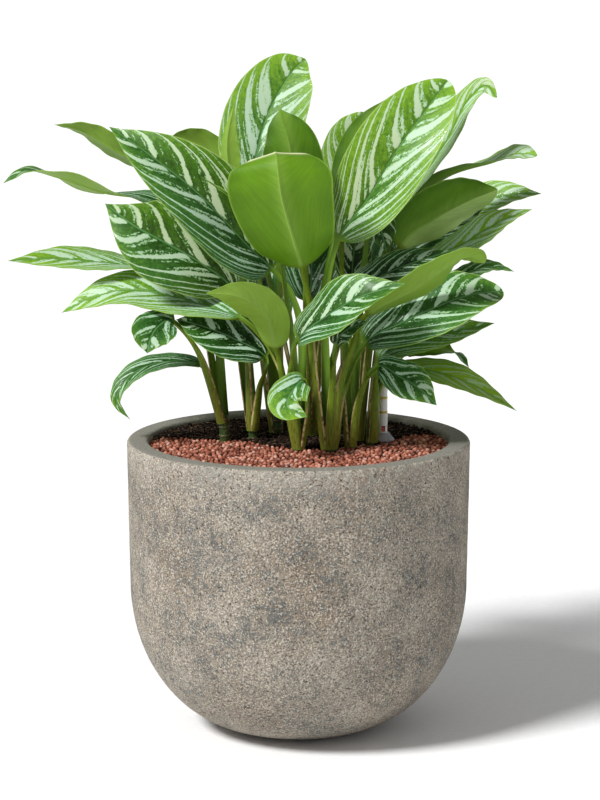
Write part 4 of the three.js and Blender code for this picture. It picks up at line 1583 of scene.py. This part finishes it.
LEAVES = (
    LeafPlan(1, 8, 190, ((-22, 40, 430),), ((-52, 44, 532), (-44, 56, 582), (-31, 75, 626),
             (-10, 92, 663), (7, 100, 680),), 44, ((-0.1, -0.9, 0.3), (-0.2, -0.9, 0.3),), 14, 2,
             Upper.BRIGHT, Under.FRESH, tip=0.05),
    LeafPlan(2, 4, 210, ((14, -44, 387), (12, -51, 439),), ((3, -66, 483), (-3, -86, 506),
             (-15, -105, 550), (-19, -110, 576), (-21, -103, 593), (-23, -84, 597), (-25, -62, 584),),
             52, ((0, 1, 0.2), (0, 1, 0.2), (0, 0.2, -1),), 10, 2, Upper.MID, Under.FRESH, crest=1.0),
    LeafPlan(3, 8, 244, ((8, -4, 420),), ((6, -32, 518), (3, -38, 540), (-4, -42, 570), (-9, -42, 602),
             (-16, -36, 625), (-18, -28, 636),), 32, ((0.1, 1, 0.1),), 14, 1, Upper.MID, Under.DEEP),
    LeafPlan(4, 2, 60, ((-56, 26, 440),), ((-64, 14, 544), (-70, 14, 576), (-71, 14, 605),
             (-64, 15, 640),), 13, ((0.5, 0.85, 0),), 30, 0, Upper.MID, Under.LIME),
    LeafPlan(5, 3, 60, ((4, -24, 400), (-6, -24, 448),), ((-26, -25, 476), (-53, -35, 503),
             (-97, -42, 551), (-144, -32, 588), (-189, -8, 617),), 46, ((0.27, -0.9, 0.32),), 24, 2,
             Upper.MID, Under.FRESH),
    LeafPlan(6, 2, 220, ((-53, 14, 400),), ((-66, 4, 451), (-101, -9, 482), (-141, -10, 505),
             (-167, -6, 519), (-195, 5, 539),), 43, ((0, -1, 0.2),), 10, 2, Upper.MID, Under.FRESH),
    LeafPlan(7, 1, 70, ((-88, 30, 440),), ((-117, 40, 522), (-153, 42, 540), (-199, 42, 547),
             (-245, 42, 562), (-277, 42, 569), (-301, 36, 557),), 24, ((0.1, -0.6, 0.8), (0, 0.4, 0.9),
             (0, -0.5, 0.9),), 8, 1, Upper.MID, Under.LIME),
    LeafPlan(8, 2, 130, ((-72, 42, 450),), ((-113, 58, 545), (-158, 62, 572), (-192, 64, 590),
             (-222, 64, 608), (-250, 60, 615),), 24, ((0, 0.5, 0.85),), 14, 1, Upper.MID, Under.LIME),
    LeafPlan(9, 9, 134, ((-37, 68, 440),), ((-61, 80, 528), (-80, 86, 566), (-98, 88, 588),
             (-118, 86, 598), (-134, 84, 600),), 21, ((0.2, 0.85, 0.5),), 14, 1, Upper.MID, Under.LIME),
    LeafPlan(10, 3, 115, ((-5, -36, 390), (-12, -48, 450),), ((-23, -64, 511), (-58, -76, 546),
             (-95, -76, 573),), 5, ((0.4, -0.8, 0.4),), 60, 0, Upper.PALE, Under.LIME),
    LeafPlan(11, 4, 110, ((27, -22, 385), (27, -20, 445),), ((40, -20, 505), (69, -32, 548),
             (98, -36, 597), (127, -26, 636), (148, -10, 663),), 44, ((-0.31, -0.93, 0.21),), 20, 2,
             Upper.BRIGHT, Under.FRESH, tip=-0.1),
    LeafPlan(12, 5, 120, ((46, -4, 430),), ((44, 5, 517), (55, 12, 566), (69, 18, 610), (91, 20, 645),),
             26, ((0.3, 0.9, 0.2),), 14, 1, Upper.MID, Under.DEEP),
    LeafPlan(13, 8, 296, ((28, 36, 430),), ((42, 34, 520), (42, 42, 565), (49, 48, 603),
             (66, 54, 628),), 22, ((-0.2, -0.95, 0.2),), 14, 1, Upper.PALE, Under.FRESH, tip=0),
    LeafPlan(14, 6, 0, ((74, 10, 420),), ((102, 14, 528), (130, 18, 571), (152, 22, 605),
             (168, 25, 637), (187, 22, 656), (199, 12, 645),), 15, ((-0.6, -0.7, 0.4),), 20, 1,
             Upper.SUNNY, Under.FRESH, tip=0),
    LeafPlan(15, 6, 120, ((76, 42, 440),), ((110, 44, 530), (152, 48, 563), (197, 48, 577),
             (224, 44, 586), (243, 38, 585),), 24, ((0, 0.5, 0.9), (0, 0, 1), (-0.1, -0.7, 0.7),), 12,
             1, Upper.SUNNY, Under.FRESH, tip=0.1),
    LeafPlan(16, 6, 300, ((76, -1, 420),), ((102, 4, 495), (135, 6, 522), (170, 0, 542),
             (199, -12, 555),), 38, ((-0.2, 0.75, 0.6),), 18, 2, Upper.MID, Under.SPLIT, tip=0.1),
    LeafPlan(17, 6, 180, ((58, 34, 360), (82, 60, 430),), ((112, 68, 488), (152, 72, 508),
             (178, 72, 522), (195, 68, 534),), 20, ((0, -0.6, 0.8),), 12, 1, Upper.DEEP, Under.FRESH),
    LeafPlan(18, 8, 347, ((60, 56, 400),), ((137, 100, 513), (180, 106, 528), (216, 98, 539),
             (252, 84, 542),), 22, ((0, -0.7, 0.7),), 10, 1, Upper.PALE, Under.SILVERY),
    LeafPlan(19, 7, 112, ((88, 15, 400),), ((125, 10, 470), (171, 13, 500), (204, 14, 520),
             (236, 10, 533),), 20, ((-0.1, -0.55, 0.8),), 12, 1, Upper.SUNNY, Under.LIME),
    LeafPlan(20, 6, 60, ((74, 28, 400),), ((84, 34, 467), (116, 34, 485), (149, 32, 494),
             (178, 30, 490),), 14, ((0, -0.5, 0.85),), 12, 1, Upper.MID, Under.LIME),
    LeafPlan(21, 5, 190, ((45, -24, 390),), ((47, -22, 447), (82, -26, 469), (118, -28, 484),
             (155, -24, 495),), 20, ((-0.1, -0.75, 0.65),), 12, 1, Upper.DEEP, Under.FRESH),
    LeafPlan(22, 4, 310, ((42, -42, 360), (54, -44, 401),), ((68, -47, 434), (112, -65, 460),
             (140, -75, 481), (165, -72, 494), (183, -62, 487),), 24, ((0, 0.55, 0.85), (0, 0.4, 0.9),),
             10, 1, Upper.MID, Under.LIME, tip=-0.15),
    LeafPlan(23, 3, 284, ((-6, -46, 351), (-8, -56, 383),), ((-1, -63, 411), (29, -85, 438),
             (62, -100, 459), (103, -108, 472),), 31, ((-0.25, -0.7, 0.65),), 14, 2, Upper.MID,
             Under.FRESH),
    LeafPlan(24, 3, 226, ((-16, -47, 371),), ((-22, -53, 401), (-32, -80, 438), (-57, -100, 458),
             (-90, -108, 463),), 23, ((0.2, 0.9, 0.4),), 12, 1, Upper.MID, Under.LIME),
    LeafPlan(25, 2, 300, ((-40, 2, 350),), ((-34, -12, 385), (-66, -12, 404), (-97, -10, 416),
             (-124, -1, 422),), 29, ((0.1, -0.75, 0.6),), 12, 1, Upper.DEEP, Under.DEEP),
    LeafPlan(26, 3, 170, ((-14, -30, 357), (-23, -28, 386), (-37, -25, 408),), ((-59, -22, 427),
             (-97, -1, 437), (-130, 13, 444), (-173, 25, 449), (-211, 34, 440), (-244, 42, 423),), 33,
             ((0, -0.35, 0.93), (0, -0.65, 0.75),), 8, 2, Upper.PALE, Under.LIME),
    LeafPlan(27, 1, 128, ((-94, 36, 400),), ((-114, 46, 467), (-164, 52, 470), (-206, 54, 474),
             (-250, 50, 478), (-298, 40, 477),), 26, ((0, 0.3, 0.95), (0, -0.35, 0.95),
             (0, -0.75, 0.65),), 8, 1, Upper.PALE, Under.SILVERY),
    LeafPlan(28, 1, 246, ((-100, 0, 385),), ((-126, -4, 420), (-142, -20, 417), (-149, -36, 405),
             (-151, -45, 394),), 23, ((0, -0.6, 0.8), (0, -1, 0.2),), 8, 1, Upper.MID, Under.FRESH),
    LeafPlan(29, 1, 186, ((-86, 19, 350),), ((-100, 20, 372), (-130, 13, 377), (-159, 0, 372),
             (-178, -8, 357), (-184, -13, 339), (-171, -14, 321),), 13, ((0, -0.5, 0.9),
             (-0.5, -0.7, 0.5), (-0.8, -0.6, 0),), 12, 1, Upper.MID, Under.LIME),
    LeafPlan(30, 3, 345, ((8, -46, 345),), ((5, -60, 369), (-9, -76, 357), (-10, -87, 346),
             (9, -92, 338),), 20, ((-0.1, -0.9, 0.45),), 10, 1, Upper.BRIGHT, Under.FRESH),
    LeafPlan(31, 4, 0, ((45, -32, 350),), ((66, -36, 402), (102, -50, 425), (141, -52, 443),
             (172, -45, 453), (204, -32, 455),), 37, ((-0.15, -0.7, 0.7),), 12, 2, Upper.MID,
             Under.FRESH, tip=-0.15),
    LeafPlan(32, 7, 285, ((78, -12, 345),), ((82, -10, 382), (118, -14, 402), (159, -16, 412),
             (198, -12, 420),), 20, ((0, -0.65, 0.75),), 12, 1, Upper.BRIGHT, Under.FRESH),
    LeafPlan(33, 7, 42, ((80, 3, 346), (88, 11, 366),), ((98, 20, 376), (108, 20, 388), (135, 15, 393),
             (160, 4, 387), (173, -8, 374),), 16, ((-0.6, 0.6, 0.5), (0, 0.9, 0.5), (0.3, -0.7, 0.6),),
             10, 1, Upper.MID, Under.DEEP),
    LeafPlan(34, 7, 345, ((81, -6, 347),), ((95, -3, 367), (124, -4, 371), (156, -8, 365),
             (189, -14, 350), (221, -18, 331),), 19, ((0, -0.5, 0.85),), 10, 1, Upper.LIME, Under.LIME),
    LeafPlan(35, 5, 290, ((62, -34, 350),), ((79, -40, 380), (102, -48, 370), (121, -53, 359),
             (138, -55, 343),), 21, ((0.1, -0.8, 0.55),), 8, 1, Upper.MID, Under.DEEP),
    LeafPlan(36, 5, 40, ((62, -10, 430),), ((74, -6, 535), (83, -13, 514), (88, -17, 493),), 16,
             ((0.2, -0.9, 0.3),), 8, 1, Upper.DEEP, Under.DEEP),
    LeafPlan(37, 6, 240, ((54, 10, 390),), ((54, 8, 450), (56, 12, 488), (63, 15, 516),), 19,
             ((0, -1, 0.1),), 8, 1, Upper.DEEP, Under.DEEP),
    LeafPlan(38, 7, 180, ((75, 4, 352), (87, 3, 412),), ((133, 4, 450), (168, 4, 468), (194, 4, 475),
             (218, 0, 471),), 14, ((0, -0.4, 0.9),), 8, 1, Upper.MID, Under.FRESH),
    LeafPlan(39, 4, 265, ((34, -45, 360),), ((37, -54, 404), (48, -62, 420), (68, -72, 430),), 13,
             ((-0.2, -0.8, 0.6),), 8, 1, Upper.DEEP, Under.FRESH),
    LeafPlan(40, 8, 139, ((10, 70, 390),), ((12, 86, 428), (14, 110, 470), (17, 146, 498),
             (20, 186, 504), (22, 222, 480),), 42, ((0, -0.7, 0.7),), 14, 2, Upper.MID, Under.FRESH),
    LeafPlan(41, 9, 192, ((-42, 74, 400),), ((-52, 92, 440), (-82, 140, 466), (-106, 180, 442),
             (-118, 202, 395),), 36, ((0, 0, 1),), 14, 2, Upper.MID, Under.FRESH),
    LeafPlan(42, 8, 37, ((42, 70, 390),), ((64, 92, 430), (92, 126, 468), (122, 160, 482),
             (146, 190, 466),), 36, ((0.3, -0.7, 0.7),), 14, 2, Upper.MID, Under.FRESH),
    LeafPlan(43, 9, 18, ((-20, 66, 450),), ((-24, 78, 540), (-38, 108, 592), (-48, 150, 618),
             (-54, 186, 610),), 32, ((0, -0.6, 0.8),), 16, 2, Upper.MID, Under.FRESH),
    LeafPlan(44, 8, 88, ((24, 60, 430),), ((42, 80, 515), (64, 112, 565), (86, 150, 588),
             (105, 184, 575),), 32, ((0, -0.6, 0.8),), 16, 2, Upper.MID, Under.FRESH),
    LeafPlan(45, 9, 78, ((-24, 78, 355),), ((-28, 88, 388), (-34, 112, 424), (-44, 150, 446),
             (-52, 192, 436), (-56, 218, 404),), 34, ((0, -0.7, 0.7),), 14, 2, Upper.MID, Under.FRESH),
)


@dataclass
class Canes:
    """The short trunks that the leaves clasp."""

    plans: tuple[CanePlan, ...] = CANES
    foot: float = 262
    bed: float = 294
    ring_pitch: float = 9
    skin: Finish = field(default_factory=CaneSkin)

    def build(self, plant: Plant) -> None:
        """Grows each cane along its line.

        Args:
            plant: What the canes are added to.
        """
        recipe = cane_recipe()
        for number, cane in enumerate(self.plans, start=1):
            points = [
                (cane.x, cane.y, self.foot),
                (cane.x, cane.y, self.bed),
                (cane.top_x, cane.top_y, cane.top),
            ]
            start = mesh_of("cane_line", points, (), [(0, 1), (1, 2)])
            sizes = {
                "Radius": cane.radius * MM,
                "Rings": (cane.top - self.foot) / self.ring_pitch,
                "Ring shift": (number * 0.37) % 1,
                "Finish": self.skin.material(),
            }
            piece = recipe.make(f"cane_{number}_grown", start, sizes)
            plant.add(piece, "cane", f"cane_{number}")


@dataclass
class Gauge:
    """The water gauge: a marked tube in a collar, with its indicator."""

    x: float = 87
    y: float = 15
    tube: float = 4.2
    wall: float = 1.2
    top: float = 351
    foot: float = 200
    bore: float = 48
    window: tuple[float, float, float] = (304, 310, 3.8)
    indicator_top: float = 309
    collar: float = 11.5
    collar_top: float = 303
    bed: float = 294
    marks: tuple[float, float] = (323, 338)
    mark_height: float = 2.2
    sides: int = 48
    white: Finish = field(default_factory=lambda: Moulding("gauge_white"))
    yellow: Finish = field(
        default_factory=lambda: Moulding("gauge_yellow", base=srgb(226, 198, 70), dull=srgb(206, 176, 62))
    )
    smoky: Finish = field(
        default_factory=lambda: Moulding(
            "gauge_smoky", 0.2, base=srgb(214, 210, 222), dull=srgb(188, 184, 200), clear=0.4
        )
    )
    red: Finish = field(
        default_factory=lambda: Moulding("gauge_red", base=srgb(196, 54, 44), dull=srgb(178, 46, 40))
    )

    def build(self, plant: Plant, recipe: Recipe) -> None:
        """Turns the tube, its marks, the collar and the indicator.

        Args:
            plant: What they are added to.
            recipe: The tree that turns a profile.
        """
        inside = self.tube - self.wall
        low = self.bed + 2 * GAP
        hole = self.tube + GAP
        tube = [
            (AXIS, self.foot), (self.tube, self.foot), (self.tube, self.top - 1),
            (self.tube - 0.2, self.top - 0.4), (self.tube - 0.6, self.top), (inside + 0.3, self.top),
            (inside, self.top - 0.4), (inside, self.top - self.bore), (AXIS, self.top - self.bore),
        ]
        collar = [
            (hole, low), (self.collar - 0.3, low), (self.collar, low + 0.4), (self.collar, low + 1.3),
            (self.collar - 0.4, low + 1.7), (self.tube + 2.6, self.collar_top - 1.2),
            (self.tube + 2.2, self.collar_top - 0.4), (self.tube + 1.6, self.collar_top),
            (hole, self.collar_top), (hole, low),
        ]
        rod = inside - GAP
        start = self.top - self.bore + GAP
        end = self.indicator_top
        indicator = [
            (AXIS, start), (rod - 0.3, start), (rod, start + 0.3), (rod, end - 0.5), (rod - 0.5, end),
            (AXIS, end),
        ]
        for name, line, finish, slot in (
            ("gauge_tube", tube, self.white, "gauge_white"),
            ("gauge_collar", collar, self.smoky, "gauge_clear"),
            ("gauge_indicator", indicator, self.red, "gauge_red"),
        ):
            piece = self._turn(recipe, name, line, finish)
            if name == "gauge_tube":
                self._cut_window(piece)
            piece.data.set_sharp_from_angle(angle=math.radians(40))
            plant.add(piece, slot, name)
        sunk = self.tube - 0.3
        proud = self.tube + 0.12
        for number, z in enumerate(self.marks):
            end = z + self.mark_height
            band = [(sunk, z), (proud, z), (proud, end), (sunk, end), (sunk, z)]
            plant.add(self._turn(recipe, f"gauge_mark_{number}", band, self.yellow), "gauge_white")

    def _cut_window(self, tube: bpy.types.Object) -> None:
        """Cuts the slot that shows the indicator into the front of the tube.

        Args:
            tube: The tube.
        """
        low, high, wide = self.window
        work = bmesh.new()
        bmesh.ops.create_cube(work, size=1.0)
        middle = Vector((self.x, self.y - self.tube / 2 - self.wall, (low + high) / 2)) * MM
        bmesh.ops.scale(work, verts=work.verts, vec=Vector((wide, self.tube, high - low)) * MM)
        bmesh.ops.translate(work, verts=work.verts, vec=middle)
        block = placed("window_block", bpy.data.meshes.new("window_block"))
        work.to_mesh(block.data)
        work.free()
        cut = tube.modifiers.new("window", "BOOLEAN")
        cut.operation = "DIFFERENCE"
        cut.object = block
        settle(tube, cut)
        bpy.data.objects.remove(block)

    def _turn(
        self, recipe: Recipe, name: str, line: Sequence[tuple[float, float]], finish: Finish
    ) -> bpy.types.Object:
        """Turns one piece about the tube's axis.

        Args:
            recipe: The tree that turns a profile.
            name: The piece's name.
            line: Its outline, as radius and height.
            finish: Its finish.

        Returns:
            The piece, in its place.
        """
        start = mesh_of("gauge_profile", [(r, 0.0, z) for r, z in line])
        sizes = {
            "Sides": self.sides,
            "Grit": 0.0,
            "Grit fineness": 100.0,
            "Grit top": 1.0,
            "Finish": finish.material(),
        }
        piece = recipe.make(f"{name}_turned", start, sizes)
        outward(piece)
        piece.data.transform(Matrix.Translation((self.x * MM, self.y * MM, 0)))
        return piece


@dataclass
class Room:
    """A pale floor, two soft suns and the camera that the photo was taken from."""

    floor_radius: float = 250
    floor_drop: float = 0.0005
    ambient: float = 0.33
    camera_place: Point = (0.0015, -2.562, 0.7815)
    tilt: float = 80.2
    lens: float = 114.8

    def build(self) -> None:
        """Sets up the floor, the light and the camera."""
        work = bmesh.new()
        bmesh.ops.create_circle(work, cap_ends=True, segments=96, radius=self.floor_radius)
        mesh = bpy.data.meshes.new("floor")
        work.to_mesh(mesh)
        work.free()
        white = Moulding("floor_white", 0.9, 0.0, 0.0, srgb(250, 250, 250), srgb(246, 246, 246))
        mesh.materials.append(white.material())
        floor = placed("floor", mesh)
        floor.location.z = -self.floor_drop
        floor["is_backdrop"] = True
        world = bpy.data.worlds.new("studio")
        bpy.context.scene.world = world
        world.use_nodes = True
        background = world.node_tree.nodes["Background"]
        background.inputs["Color"].default_value = (1.0, 1.0, 1.0, 1.0)
        background.inputs["Strength"].default_value = self.ambient
        bpy.context.scene.view_settings.view_transform = "Standard"
        self._sun("key", strength=3.65, softness=14, turn=(46, 0, -52))
        self._sun("fill", strength=0.08, softness=60, turn=(60, 0, 50))
        camera = placed("camera", bpy.data.cameras.new("camera"))
        camera.location = self.camera_place
        camera.rotation_euler = (math.radians(self.tilt), 0, 0)
        camera.data.lens = self.lens
        camera.data.clip_end = 2 * self.floor_radius
        bpy.context.scene.camera = camera

    def _sun(self, name: str, strength: float, softness: float, turn: Point) -> None:
        """Adds a sun.

        Args:
            name: Its name.
            strength: How strong it is.
            softness: How wide it looks, in degrees.
            turn: Its rotation, in degrees.
        """
        light = bpy.data.lights.new(name, "SUN")
        light.energy = strength
        light.angle = math.radians(softness)
        placed(name, light).rotation_euler = [math.radians(v) for v in turn]


def main() -> None:
    """Builds the plant, its pot and the room."""
    logging.basicConfig(level=logging.INFO, format="%(name)s %(message)s")
    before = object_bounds()
    plant = Plant(np.array(before[0]), np.array(before[1]))
    turning = turning_recipe()
    Pot().build(plant, turning)
    Bed().build(plant)
    Canes().build(plant)
    Gauge().build(plant, turning)
    for plan in LEAVES:
        Leaf(plan, CANES[plan.cane - 1]).build(plant)
    Room().build()
    LOG.info("%d pieces", plant.count)


if __name__ == "__main__":
    main()
